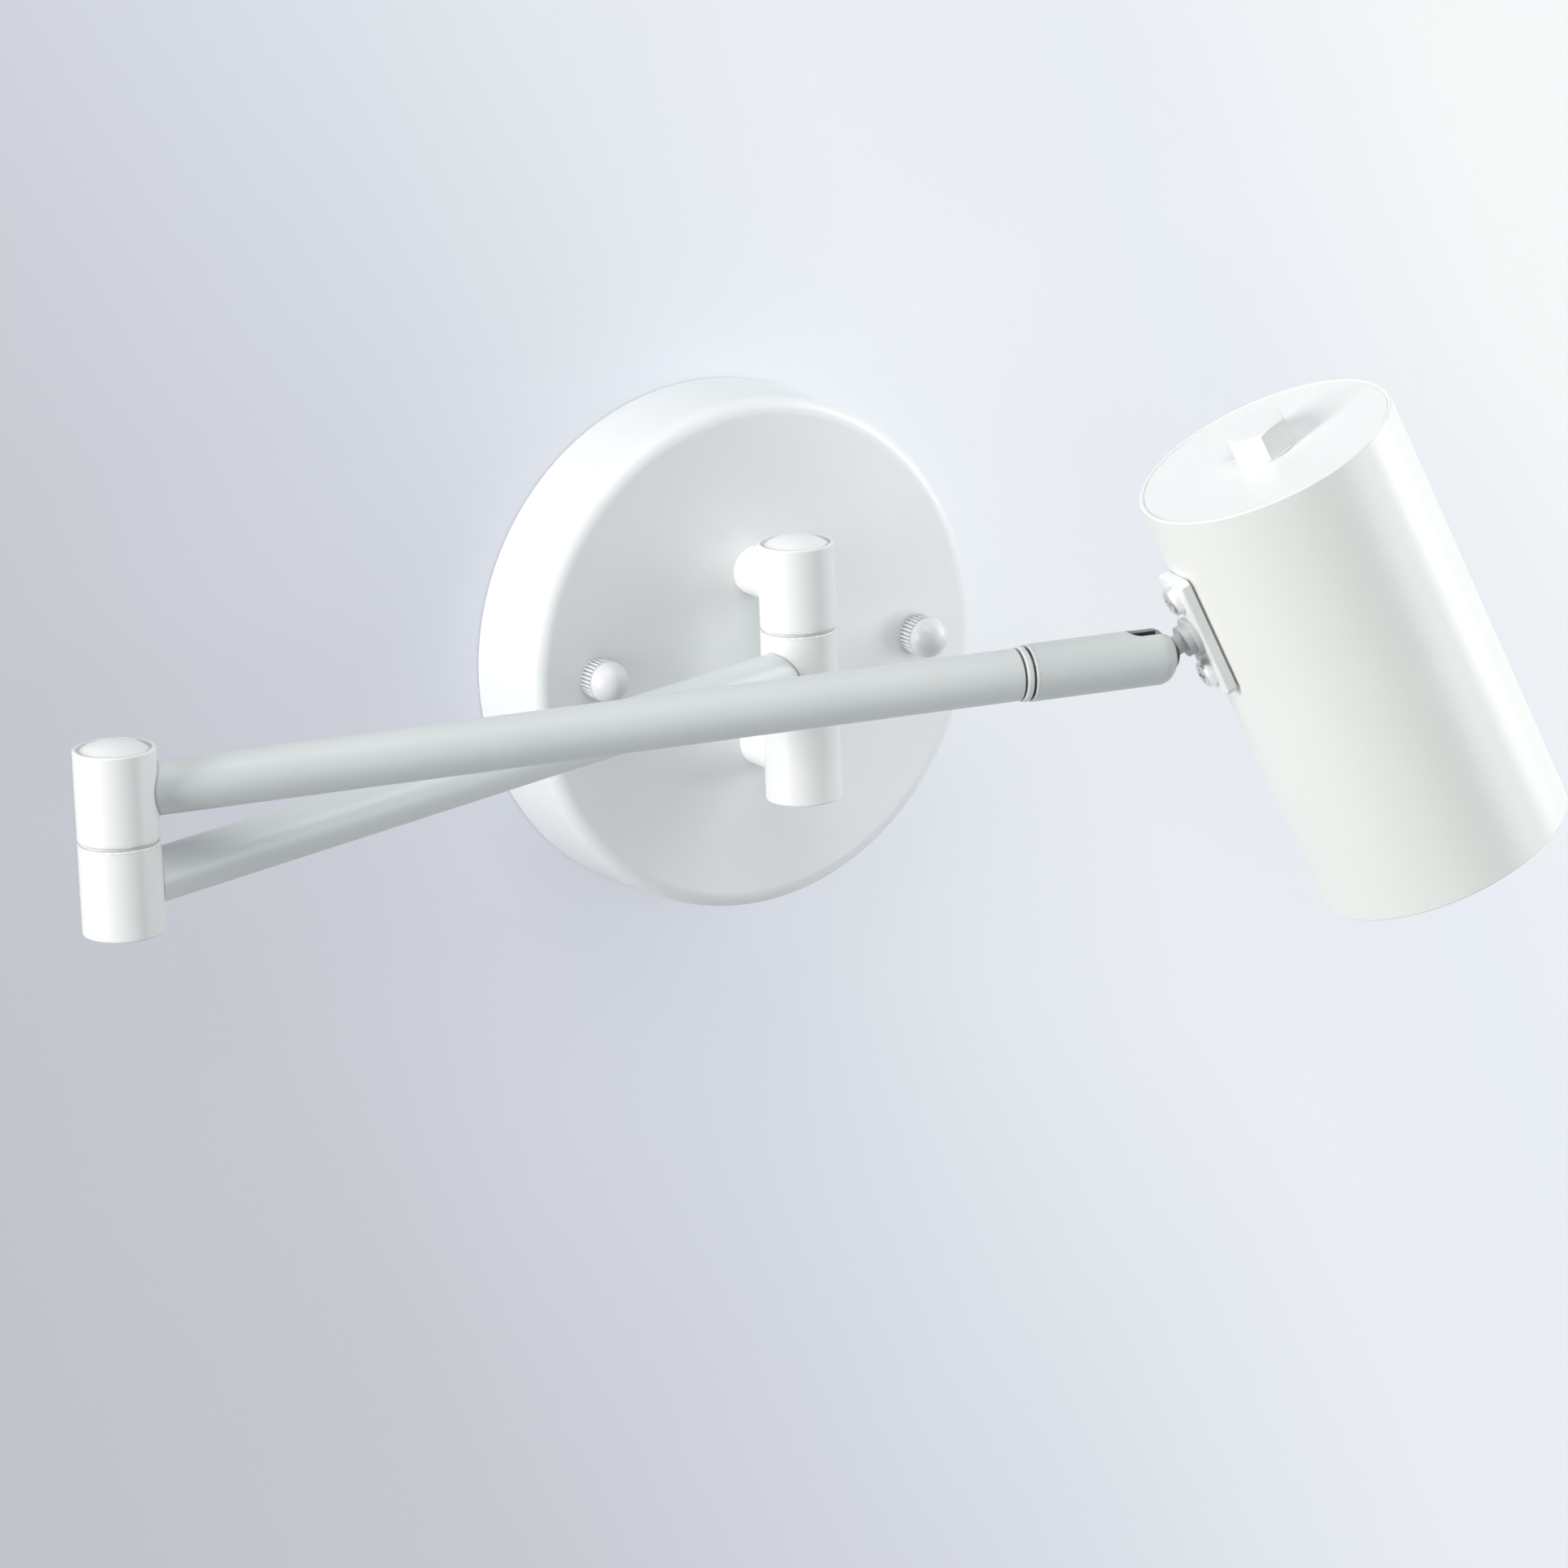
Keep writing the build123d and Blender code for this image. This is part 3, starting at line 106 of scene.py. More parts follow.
class NodeMaker:
    def __init__(self, tree):
        self.tree = tree

    def put(self, kind, settings=None, values=None, out=0):
        node = self.tree.nodes.new(kind)
        for name, value in (settings or {}).items():
            if name == "stops":
                ramp = node.color_ramp.elements
                while len(ramp) < len(value):
                    ramp.new(0.5)
                for stop, (place, colour) in zip(ramp, value):
                    stop.position = place
                    stop.color = (*colour, 1.0)
            else:
                setattr(node, name, value)
        for name, value in (values or {}).items():
            if isinstance(value, Flow):
                self.tree.links.new(value.socket, node.inputs[name])
            elif isinstance(value, (list, tuple)) and node.inputs[name].type == "RGBA":
                node.inputs[name].default_value = (*value[:3], 1.0)
            else:
                node.inputs[name].default_value = value
        self.last = node
        return Flow(self, node.outputs[out]) if len(node.outputs) else None

    def mix(self, factor, first, second):
        return self.put("ShaderNodeMix", {"data_type": "RGBA", "clamp_factor": True},
                        {0: factor, 6: first, 7: second}, out=2)

    def spread(self, value, low, high, toLow=0.0, toHigh=1.0):
        return self.put("ShaderNodeMapRange", {"clamp": True, "interpolation_type": "SMOOTHSTEP"},
                        {0: value, 1: low, 2: high, 3: toLow, 4: toHigh})


class Finish(NodeMaker):
    def __init__(self, name):
        self.material = bpy.data.materials.new(name)
        self.material.use_nodes = True
        super().__init__(self.material.node_tree)
        self.tree.nodes.clear()
        self.coords = self.put("ShaderNodeTexCoord", out="Object")

    def noise(self, scale, detail=3.0, roughness=0.5, vector=None, distortion=0.0):
        return self.put("ShaderNodeTexNoise", {}, {
            "Vector": vector or self.coords, "Scale": scale, "Detail": detail,
            "Roughness": roughness, "Distortion": distortion})

    def turned(self, place, stretch=(1.0, 1.0, 1.0)):
        # object coordinates moved to a piece's own axis, with Z along it
        back = place.inverted()
        move = self.put("ShaderNodeMapping", {"vector_type": "POINT"}, {
            "Vector": self.coords, "Location": back.to_translation(),
            "Rotation": back.to_euler()})
        return self.put("ShaderNodeVectorMath", {"operation": "MULTIPLY"}, {0: move, 1: stretch})

    def part(self, vector, axis):
        return self.put("ShaderNodeSeparateXYZ", {}, {0: vector}, out=axis)

    def fromAxis(self, place):
        # distance from the line that a placement's Z runs along
        return self.put("ShaderNodeVectorMath", {"operation": "LENGTH"},
                        {0: self.turned(place, (1.0, 1.0, 0.0))}, out="Value")

    def edges(self, radius):
        # 1 on sharp edges and 0 on flats, from how far a rounded normal leaves the true one
        rounded = self.put("ShaderNodeBevel", {"samples": 4}, {"Radius": radius})
        flat = self.put("ShaderNodeNewGeometry", out="Normal")
        same = self.put("ShaderNodeVectorMath", {"operation": "DOT_PRODUCT"},
                        {0: rounded, 1: flat}, out="Value")
        return self.spread(1.0 - same, 0.02, 0.25), rounded

    def bump(self, height, strength, distance, normal=None):
        values = {"Strength": strength, "Distance": distance, "Height": height}
        if normal is not None:
            values["Normal"] = normal
        return self.put("ShaderNodeBump", {}, values)

    def surface(self, values):
        shader = self.put("ShaderNodeBsdfPrincipled", {}, values)
        self.put("ShaderNodeOutputMaterial", {}, {"Surface": shader})
        return self.material


# the lamp's finishes


def paintFinish(name, look, seams=(), place=None, barrels=(), paintedShadeSpots=()):
    f = Finish(name)
    cloud = f.noise(look["cloudScale"], detail=4.0, roughness=0.6)
    peel = f.noise(look["peelScale"], detail=2.0, roughness=0.45)
    grain = f.noise(look["grainScale"], detail=1.0)
    speck = f.put("ShaderNodeTexVoronoi", {"feature": "F1"},
                  {"Vector": f.coords, "Scale": look["speckScale"]})
    speckMask = f.spread(speck, *look["speckSize"], 1.0, 0.0)
    speckMask = speckMask * f.spread(f.noise(look["patchScale"]), *look["patchSpread"])
    edge, rounded = f.edges(look["edgeRadius"])
    colour = f.mix(f.spread(cloud, *look["cloudSpread"]), look["colour"], look["cloudColour"])
    colour = f.mix(speckMask * look["specks"], colour, look["speckColour"])
    # sharp edges lighter: a painted edge highlight
    colour = f.mix(edge * look["edgeShow"], colour, look["edgeColour"])
    roughness = look["roughness"] + (cloud - 0.5) * look["roughnessSpread"]
    roughness = roughness + grain * look["grainRoughness"]
    if seams:
        # a faint rubbed ring where one part turns on the next: worn paint on the barrels and,
        # stronger on the tip, painted shade in the seam beside the collar ring
        height = f.part(f.turned(place), 2)
        rubWearAndShade = None
        for level in seams:
            away = f.put("ShaderNodeMath", {"operation": "ABSOLUTE"}, {0: height - level})
            ring = f.spread(away, *look["rubWidth"], 1.0, 0.0)
            rubWearAndShade = ring if rubWearAndShade is None else f.put("ShaderNodeMath", {"operation": "MAXIMUM"},
                                                 {0: rubWearAndShade, 1: ring})
        streak = f.spread(f.noise(look["rubScale"], detail=3.0), *look["rubSpread"])
        colour = f.mix(rubWearAndShade * streak * look["rubWearAndShade"], colour, look["rubWearAndShadeColour"])
        roughness = roughness - rubWearAndShade * look["rubShine"]
    for barrel in barrels:
        # painted shade: a thin dark line on a tube where it meets a barrel, standing in for the
        # shadow in the joint
        line = f.spread(f.fromAxis(barrel), *look["contactPaintedShadeReach"], 1.0, 0.0)
        colour = f.mix(line * look["contactPaintedShade"], colour, look["contactPaintedShadeColour"])
    for paintedShadeSpot in paintedShadeSpots:
        # painted shade inside a slot, round a ball and between the ridges of a knurl
        inside = f.spread(f.fromAxis(paintedShadeSpot["place"]), paintedShadeSpot["radius"] - paintedShadeSpot["blur"],
                          paintedShadeSpot["radius"], 1.0, 0.0)
        level = f.part(f.turned(paintedShadeSpot["place"]), 2)
        inside = inside * f.spread(level, paintedShadeSpot["end"] - paintedShadeSpot["blur"], paintedShadeSpot["end"], 1.0, 0.0)
        colour = f.mix(inside, colour, paintedShadeSpot["colour"])
    skin = peel * look["peelShare"] + grain * (1.0 - look["peelShare"])
    normal = f.bump(skin, look["bump"], look["bumpDepth"], rounded)
    return f.surface({"Base Color": colour, "Roughness": roughness, "Normal": normal,
                      "Specular IOR Level": look["specular"], "Coat Weight": look["coat"],
                      "Coat Roughness": look["coatRoughness"]})


paintLook = {
    "colour": (0.845, 0.850, 0.840), "cloudColour": (0.815, 0.825, 0.818),
    "edgeColour": (0.90, 0.90, 0.89), "edgeShow": 0.55, "edgeRadius": 0.00035,
    "speckColour": (0.62, 0.61, 0.58), "specks": 0.35, "speckScale": 420.0,
    "speckSize": (0.04, 0.09), "patchScale": 60.0, "patchSpread": (0.52, 0.66),
    "cloudScale": 26.0, "cloudSpread": (0.35, 0.70), "peelScale": 1150.0, "grainScale": 4200.0,
    "peelShare": 0.75, "bump": 0.16, "bumpDepth": 0.00012,
    "roughness": 0.36, "roughnessSpread": 0.10, "grainRoughness": 0.04,
    "specular": 0.5, "coat": 0.15, "coatRoughness": 0.22,
    "rubWearAndShade": 0.35, "rubWearAndShadeColour": (0.52, 0.53, 0.52), "rubWidth": (0.0004, 0.0014),
    "rubScale": 900.0, "rubSpread": (0.40, 0.65), "rubShine": 0.06,
    # the painted shade line where a tube meets a barrel
    "contactPaintedShade": 0.5, "contactPaintedShadeColour": (0.22, 0.23, 0.23), "contactPaintedShadeReach": (0.00870, 0.00925),
}
tubeLook = {**paintLook, "colour": (0.700, 0.725, 0.720), "cloudColour": (0.670, 0.698, 0.694),
            "edgeColour": (0.80, 0.81, 0.80), "roughness": 0.36, "peelScale": 1350.0}
shadeLook = {**paintLook, "colour": (0.860, 0.860, 0.825), "cloudColour": (0.840, 0.842, 0.808),
             "roughness": 0.35, "coat": 0.15, "cloudScale": 18.0}
lidLook = {**paintLook, "roughness": 0.38, "cloudScale": 34.0}


def metalFinish(name, look, place, stretch=(1.0, 1.0, 30.0)):
    f = Finish(name)
    turned = f.turned(place, stretch)
    streak = f.noise(look["streakScale"], detail=4.0, roughness=0.65, vector=turned)
    cloud = f.noise(look["cloudScale"], detail=3.0)
    pits = f.noise(look["pitScale"], detail=2.0)
    edge, rounded = f.edges(look["edgeRadius"])
    colour = f.mix(f.spread(cloud, *look["cloudSpread"]), look["colour"], look["cloudColour"])
    colour = f.mix(streak * look["streakShow"], colour, look["streakColour"])
    colour = f.mix(edge * look["edgeShow"], colour, look["edgeColour"])
    roughness = look["roughness"] + (streak - 0.5) * look["streakRoughness"]
    roughness = roughness + (cloud - 0.5) * look["cloudRoughness"]
    grain = streak * look["streakShare"] + pits * (1.0 - look["streakShare"])
    normal = f.bump(grain, look["bump"], look["bumpDepth"], rounded)
    return f.surface({"Base Color": colour, "Roughness": roughness, "Normal": normal,
                      "Metallic": 1.0})


zincLook = {"colour": (0.62, 0.64, 0.66), "cloudColour": (0.55, 0.58, 0.62),
            "streakColour": (0.70, 0.71, 0.72), "edgeColour": (0.85, 0.86, 0.87),
            "streakScale": 700.0, "cloudScale": 110.0, "pitScale": 2600.0, "edgeRadius": 0.00025,
            "cloudSpread": (0.35, 0.7), "streakShow": 0.5, "edgeShow": 0.7, "streakShare": 0.7,
            "roughness": 0.34, "streakRoughness": 0.18, "cloudRoughness": 0.12,
            "bump": 0.22, "bumpDepth": 0.00008}
screwLook = {**zincLook, "colour": (0.30, 0.29, 0.27), "cloudColour": (0.24, 0.235, 0.225),
             "streakColour": (0.36, 0.35, 0.33), "edgeColour": (0.62, 0.61, 0.58)}
nickelLook = {**zincLook, "colour": (0.88, 0.88, 0.87), "cloudColour": (0.82, 0.82, 0.81),
              "streakColour": (0.92, 0.92, 0.91), "roughness": 0.42}
brassLook = {**zincLook, "colour": (0.78, 0.60, 0.30), "cloudColour": (0.68, 0.50, 0.24),
             "streakColour": (0.84, 0.68, 0.38), "edgeColour": (0.92, 0.80, 0.52)}
reflectorLook = {**zincLook, "colour": (0.80, 0.81, 0.82), "cloudColour": (0.74, 0.75, 0.78),
                 "streakColour": (0.86, 0.86, 0.86), "roughness": 0.18, "bump": 0.10}


def mouldedFinish(name, look):
    f = Finish(name)
    cloud = f.noise(look["cloudScale"], detail=3.0)
    skin = f.noise(look["skinScale"], detail=2.0)
    edge, rounded = f.edges(look["edgeRadius"])
    colour = f.mix(f.spread(cloud, *look["cloudSpread"]), look["colour"], look["cloudColour"])
    # sharp edges lighter: a painted edge highlight
    colour = f.mix(edge * look["edgeShow"], colour, look["edgeColour"])
    roughness = look["roughness"] + (cloud - 0.5) * look["roughnessSpread"]
    normal = f.bump(skin, look["bump"], look["bumpDepth"], rounded)
    return f.surface({"Base Color": colour, "Roughness": roughness, "Normal": normal})


nylonLook = {"colour": (0.78, 0.78, 0.75), "cloudColour": (0.72, 0.72, 0.68),
             "edgeColour": (0.84, 0.84, 0.82), "cloudScale": 160.0, "skinScale": 2400.0,
             "cloudSpread": (0.3, 0.7), "edgeShow": 0.5, "edgeRadius": 0.0002,
             "roughness": 0.45, "roughnessSpread": 0.16, "bump": 0.15, "bumpDepth": 0.0001}
blackNylonLook = {**nylonLook, "colour": (0.020, 0.020, 0.022),
                  "cloudColour": (0.034, 0.033, 0.032), "edgeColour": (0.075, 0.075, 0.075),
                  "roughness": 0.38}
blockLook = {**nylonLook, "colour": (0.74, 0.73, 0.68), "cloudColour": (0.68, 0.67, 0.62),
             "roughness": 0.42, "skinScale": 1500.0}
ceramicLook = {**nylonLook, "colour": (0.80, 0.79, 0.75), "cloudColour": (0.74, 0.72, 0.67),
               "roughness": 0.22, "bump": 0.08, "skinScale": 900.0, "edgeRadius": 0.0004}


def leadFinish(name, look):
    f = Finish(name)
    cloud = f.noise(look["cloudScale"], detail=2.0)
    skin = f.noise(look["skinScale"], detail=1.0)
    colour = f.mix(f.spread(cloud, *look["cloudSpread"]), look["colour"], look["cloudColour"])
    roughness = look["roughness"] + skin * look["skinRoughness"]
    normal = f.bump(skin, look["bump"], look["bumpDepth"])
    return f.surface({"Base Color": colour, "Roughness": roughness, "Normal": normal})


leadLook = {"colour": (0.10, 0.085, 0.08), "cloudColour": (0.15, 0.13, 0.12),
            "cloudScale": 220.0, "cloudSpread": (0.35, 0.65), "skinScale": 1800.0,
            "roughness": 0.38, "skinRoughness": 0.14, "bump": 0.2, "bumpDepth": 0.00006}


def lensFinish(name, look):
    f = Finish(name)
    frost = f.noise(look["frostScale"], detail=3.0)
    ripple = f.noise(look["rippleScale"], detail=1.0)
    colour = f.mix(f.spread(frost, *look["frostSpread"]), look["colour"], look["frostColour"])
    wave = ripple * look["rippleShare"] + frost * (1.0 - look["rippleShare"])
    normal = f.bump(wave, look["bump"], look["bumpDepth"])
    roughness = look["roughness"] + frost * look["frostRoughness"]
    return f.surface({"Base Color": colour, "Roughness": roughness, "Normal": normal,
                      "Transmission Weight": look["clearness"], "IOR": look["bend"]})


lensLook = {"colour": (0.90, 0.92, 0.92), "frostColour": (0.82, 0.85, 0.86),
            "frostScale": 700.0, "frostSpread": (0.3, 0.7), "rippleScale": 120.0,
            "rippleShare": 0.6, "bump": 0.3, "bumpDepth": 0.0002,
            "roughness": 0.22, "frostRoughness": 0.15, "clearness": 0.85, "bend": 1.49}


shadePlace = placeFacing(shadeTop, -shadeUp, stemAlong)
stemPlace = placeFacing(ballPlace, stemAlong, shadeUp)
outerPlace = placeFacing(outerStart, outerAlong, worldUp)
hingeUpright = placeFacing(hingePlace, worldUp, Vector((1.0, 0.0, 0.0)))
elbowUpright = placeFacing(elbowPlace, worldUp, Vector((1.0, 0.0, 0.0)))
canopyPlace = placeFacing(Vector((0.0, 0.0, 0.0)), roomward, fixingAlong)

# painted shade: dark inside the tip's slot, between the cap nuts' knurl ridges and round the ball in
# the tip's mouth
tipSlotPaintedShade = {"place": outerPlace, "radius": 0.0058, "end": 0.2346, "blur": 0.0003,
             "colour": (0.035, 0.035, 0.038)}
nutPlaces = [placeFacing(side + roomward * lampShape["canopyDepth"], roomward, fixingAlong)
             for side in fixingSides]
knurlGapPaintedShade = [{"place": place, "radius": 0.00464, "end": 0.0046, "blur": 0.0003,
              "colour": (0.48, 0.48, 0.50)} for place in nutPlaces]
ballPaintedShade = {"place": stemPlace, "radius": 0.0052, "end": 0.0044, "blur": 0.0008,
              "colour": (0.05, 0.05, 0.052)}
finishes = {
    # a lighter copy of the white paint, slightly bluer: painted light on the canopy's face
    "canopyPaint": paintFinish("canopyPaint", {**paintLook, "colour": (0.866, 0.878, 0.884),
                                               "cloudColour": (0.838, 0.852, 0.858),
                                               "cloudScale": 16.0}),
    "hingePaint": paintFinish("hingePaint", paintLook, (-0.010, 0.010), hingeUpright),
    "elbowPaint": paintFinish("elbowPaint", paintLook, (0.010,), elbowUpright),
    "capPaint": paintFinish("capPaint", {**paintLook, "cloudScale": 90.0, "roughness": 0.30}),
    "innerTubePaint": paintFinish("innerTubePaint", tubeLook,
                                  barrels=(hingeUpright, elbowUpright)),
    "outerTubePaint": paintFinish("outerTubePaint", {**tubeLook, "cloudScale": 21.0},
                                  barrels=(elbowUpright,)),
    # the tip's stronger ring darkens its seam at the collar ring: painted shade
    "tipPaint": paintFinish("tipPaint", {**tubeLook, "colour": (0.650, 0.680, 0.672),
                                         "cloudColour": (0.620, 0.652, 0.645), "rubWearAndShade": 0.6},
                            (0.2031,), outerPlace, paintedShadeSpots=(tipSlotPaintedShade,)),
    "ringPaint": paintFinish("ringPaint", {**tubeLook, "colour": (0.78, 0.80, 0.79)}),
    "shadePaint": paintFinish("shadePaint", shadeLook),
    "lidPaint": paintFinish("lidPaint", lidLook),
    "nutPaint": paintFinish("nutPaint", {**paintLook, "roughness": 0.28, "coat": 0.3}),
    "capNutPaint": paintFinish("capNutPaint", {**paintLook, "colour": (0.760, 0.755, 0.775),
                                               "cloudColour": (0.725, 0.720, 0.745),
                                               "cloudScale": 140.0, "roughness": 0.30},
                               paintedShadeSpots=knurlGapPaintedShade),
    # a lighter copy of the white paint: painted light on the bracket plate, which faces away from
    # the lamps
    "bracketPaint": paintFinish("bracketPaint", {**paintLook, "colour": (0.885, 0.888, 0.880),
                                                 "cloudScale": 120.0}),
    "zincBase": metalFinish("zincBase", zincLook, canopyPlace, (1.0, 12.0, 12.0)),
    "screwSteel": metalFinish("screwSteel", screwLook, canopyPlace, (8.0, 8.0, 1.0)),
    "zincHinge": metalFinish("zincHinge", zincLook, hingeUpright),
    "zincElbow": metalFinish("zincElbow", zincLook, elbowUpright),
    "zincTip": metalFinish("zincTip", zincLook, outerPlace),
    "zincStem": metalFinish("zincStem", zincLook, stemPlace),
    "zincShade": metalFinish("zincShade", zincLook, shadePlace),
    "paintedStud": paintFinish("paintedStud", {**paintLook, "colour": (0.60, 0.62, 0.62),
                                               "cloudColour": (0.50, 0.53, 0.53), "specks": 0.8},
                               paintedShadeSpots=(ballPaintedShade,)),
    "nickelScrew": metalFinish("nickelScrew", nickelLook, stemPlace),
    "brassEarth": metalFinish("brassEarth", brassLook, canopyPlace),
    "brassPins": metalFinish("brassPins", brassLook, shadePlace),
    "reflectorCoat": metalFinish("reflectorCoat", reflectorLook, shadePlace, (1.0, 1.0, 8.0)),
    # the spigot and the bush are darkened: painted shade in the grooves beside the collar ring
    "seamSteel": metalFinish("seamSteel", screwLook, outerPlace),
    "seamNylon": mouldedFinish("seamNylon", {**nylonLook, "colour": (0.12, 0.12, 0.125),
                                             "cloudColour": (0.09, 0.09, 0.095)}),
    "whiteNylon": mouldedFinish("whiteNylon", nylonLook),
    "blackNylon": mouldedFinish("blackNylon", blackNylonLook),
    "blockPlastic": mouldedFinish("blockPlastic", blockLook),
    "ceramicBody": mouldedFinish("ceramicBody", ceramicLook),
    "lampGlass": lensFinish("lampGlass", lensLook),
    "leadSleeve": leadFinish("leadSleeve", leadLook),
}
finishOfNode = {
    "canopy": "canopyPaint", "upper_knuckle": "hingePaint", "lower_knuckle": "hingePaint",
    "inner_barrel": "hingePaint", "hinge_top_cap": "capPaint", "hinge_bottom_cap": "capPaint",
    "elbow_top_cap": "capPaint", "elbow_bottom_cap": "capPaint",
    "elbow_lower_barrel": "elbowPaint", "elbow_upper_barrel": "elbowPaint",
    "inner_arm_tube": "innerTubePaint", "outer_arm_tube": "outerTubePaint",
    "swivel_tip": "tipPaint", "collar_ring": "ringPaint",
    "shade_bracket": "bracketPaint", "shade_tube": "shadePaint", "shade_lid": "lidPaint",
    "lid_hex_nut": "nutPaint", "cap_nuts": "capNutPaint", "ball_stud": "paintedStud",
    "bracket_screws": "nickelScrew", "crossbar": "zincBase", "canopy_screws": "screwSteel",
    "post_washers": "zincBase", "post_nuts": "zincBase", "terminal_screws": "zincBase",
    "terminal_fixing_screw": "zincBase", "earth_screw": "brassEarth",
    "hinge_pin": "zincHinge", "hinge_pin_nuts": "zincHinge", "hinge_spring_washer": "zincHinge",
    "elbow_pin": "zincElbow", "elbow_pin_nuts": "zincElbow", "elbow_spring_washer": "zincElbow",
    "tip_spigot": "seamSteel", "spigot_clip": "zincTip", "seat_disc_springs": "zincTip",
    "stud_nut": "zincStem", "stud_spring_washer": "zincStem", "bracket_nuts": "zincStem",
    "socket_pipe": "zincShade", "socket_pipe_nuts": "zincShade", "holder_strap": "zincShade",
    "holder_screws": "zincShade", "lamp_pins": "brassPins", "lampholder": "ceramicBody",
    "lamp_base": "ceramicBody", "lamp_reflector": "reflectorCoat", "lamp_lens": "lampGlass",
    "hinge_seam_washers": "whiteNylon", "elbow_seam_washer": "whiteNylon",
    "tube_end_bush": "seamNylon", "ball_seat": "blackNylon", "terminal_block": "blockPlastic",
    "wall_leads": "leadSleeve", "inner_arm_leads": "leadSleeve", "outer_arm_leads": "leadSleeve",
    "shade_leads": "leadSleeve",
}
for nodeName, nodeObject in cadNodes.items():
    chosen = finishes[finishOfNode[nodeName]]
    for slot in nodeObject.material_slots:
        slot.material = chosen
print("finishes on", len(finishOfNode), "nodes")


# small pieces grown with geometry nodes


class Growth(NodeMaker):
    def __init__(self, name, sizes, material):
        tree = bpy.data.node_groups.new(name, "GeometryNodeTree")
        super().__init__(tree)
        tree.interface.new_socket(name="Geometry", in_out="INPUT", socket_type="NodeSocketGeometry")
        tree.interface.new_socket(name="Geometry", in_out="OUTPUT", socket_type="NodeSocketGeometry")
        for label, value in sizes.items():
            kind = "NodeSocketInt" if isinstance(value, int) else "NodeSocketFloat"
            tree.interface.new_socket(name=label, in_out="INPUT", socket_type=kind)
        self.given = tree.nodes.new("NodeGroupInput")
        self.material = material

    def size(self, label):
        return Flow(self, self.given.outputs[label])

    def end(self, geometry):
        whole = self.put("GeometryNodeRealizeInstances", {}, {0: geometry})
        smooth = self.put("GeometryNodeSetShadeSmooth", {}, {0: whole})
        coated = self.put("GeometryNodeSetMaterial", {}, {0: smooth, "Material": self.material})
        self.put("NodeGroupOutput", {}, {0: coated})
        return self.tree


def growPiece(name, tree, sizes, body, places, startMesh=None, standsFor=()):
    # runs the tree once and copies its plain mesh to each place
    start = bpy.data.objects.new(name + "Start", startMesh or bpy.data.meshes.new(name + "Start"))
    bpy.context.scene.collection.objects.link(start)
    live = start.modifiers.new("grow", "NODES")
    live.node_group = tree
    for item in tree.interface.items_tree:
        if item.in_out == "INPUT" and item.name in sizes:
            live[item.identifier] = sizes[item.name]
    seen = start.evaluated_get(bpy.context.evaluated_depsgraph_get())
    grown = bpy.data.meshes.new_from_object(seen)
    start.modifiers.remove(live)
    bpy.data.objects.remove(start)
    whole = bmesh.new()
    for place in places:
        copy = grown.copy()
        copy.transform(place)
        whole.from_mesh(copy)
        bpy.data.meshes.remove(copy)
    mesh = bpy.data.meshes.new(name)
    whole.to_mesh(mesh)
    whole.free()
    for material in grown.materials:
        mesh.materials.append(material)
    piece = bpy.data.objects.new(name, mesh)
    bpy.context.scene.collection.objects.link(piece)
    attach(piece, body)
    if standsFor:
        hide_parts(*standsFor)
    print("grew", name, "with", len(mesh.polygons), "faces")


def turnedMesh(name, outline, steps):
    # turns an outline of (radius, height) points round Z into a closed body; a plain loop,
    # because the spin operator stores its faces in another order each run
    corners = []
    rings = []
    for radius, height in outline:
        count = steps if radius > 0.0 else 1
        rings.append([len(corners) + step for step in range(count)])
        for step in range(count):
            turn = math.tau * step / steps
            corners.append((radius * math.cos(turn), radius * math.sin(turn), height))
    faces = []
    for ring, nextRing in zip(rings, rings[1:]):
        for step in range(steps):
            after = (step + 1) % steps
            quad = [ring[step % len(ring)], ring[after % len(ring)],
                    nextRing[after % len(nextRing)], nextRing[step % len(nextRing)]]
            faces.append(list(dict.fromkeys(quad)))
    mesh = bpy.data.meshes.new(name)
    mesh.from_pydata(corners, [], faces)
    mesh.shade_smooth()
    return mesh


# cap nuts: a turned body with a knurled foot and a ball end
capNut = {"footRadius": 0.00430, "footLength": 0.0049, "domeRadius": 0.0047, "ridgeCount": 30,
          "ridgeWidth": 0.00062, "ridgeLength": 0.0041, "ridgeDip": 0.00004, "chamfer": 0.0004,
          "domeSteps": 14, "boreRadius": 0.0021, "boreDepth": 0.0064, "turnSteps": 60}
nutOutline = [(0.0, capNut["boreDepth"]), (capNut["boreRadius"], capNut["boreDepth"]),
              (capNut["boreRadius"], 0.0), (capNut["footRadius"] - capNut["chamfer"], 0.0),
              (capNut["footRadius"], capNut["chamfer"]),
              (capNut["footRadius"], capNut["footLength"] - capNut["chamfer"]),
              (capNut["footRadius"] - capNut["chamfer"] / 2, capNut["footLength"])]
for step in range(capNut["domeSteps"] + 1):
    bend = math.pi / 2 * step / capNut["domeSteps"]
    nutOutline.append((capNut["domeRadius"] * math.cos(bend),
                       capNut["footLength"] + capNut["domeRadius"] * math.sin(bend)))
nutOutline[-1] = (0.0, capNut["footLength"] + capNut["domeRadius"])
nutSizes = {"ridge count": capNut["ridgeCount"],
            "ridge circle": capNut["footRadius"] - capNut["ridgeDip"],
            "ridge width": capNut["ridgeWidth"], "ridge length": capNut["ridgeLength"],
            "ridge height": capNut["footLength"] / 2}
nutTree = Growth("knurlRidges", nutSizes, finishes["capNutPaint"])
circle = nutTree.put("GeometryNodeMeshCircle", {}, {"Vertices": nutTree.size("ridge count"),
                                                    "Radius": nutTree.size("ridge circle")})
ridgeSize = nutTree.put("ShaderNodeCombineXYZ", {}, {0: nutTree.size("ridge width"),
                                                     1: nutTree.size("ridge width"),
                                                     2: nutTree.size("ridge length")})
ridge = nutTree.put("GeometryNodeMeshCube", {}, {"Size": ridgeSize})
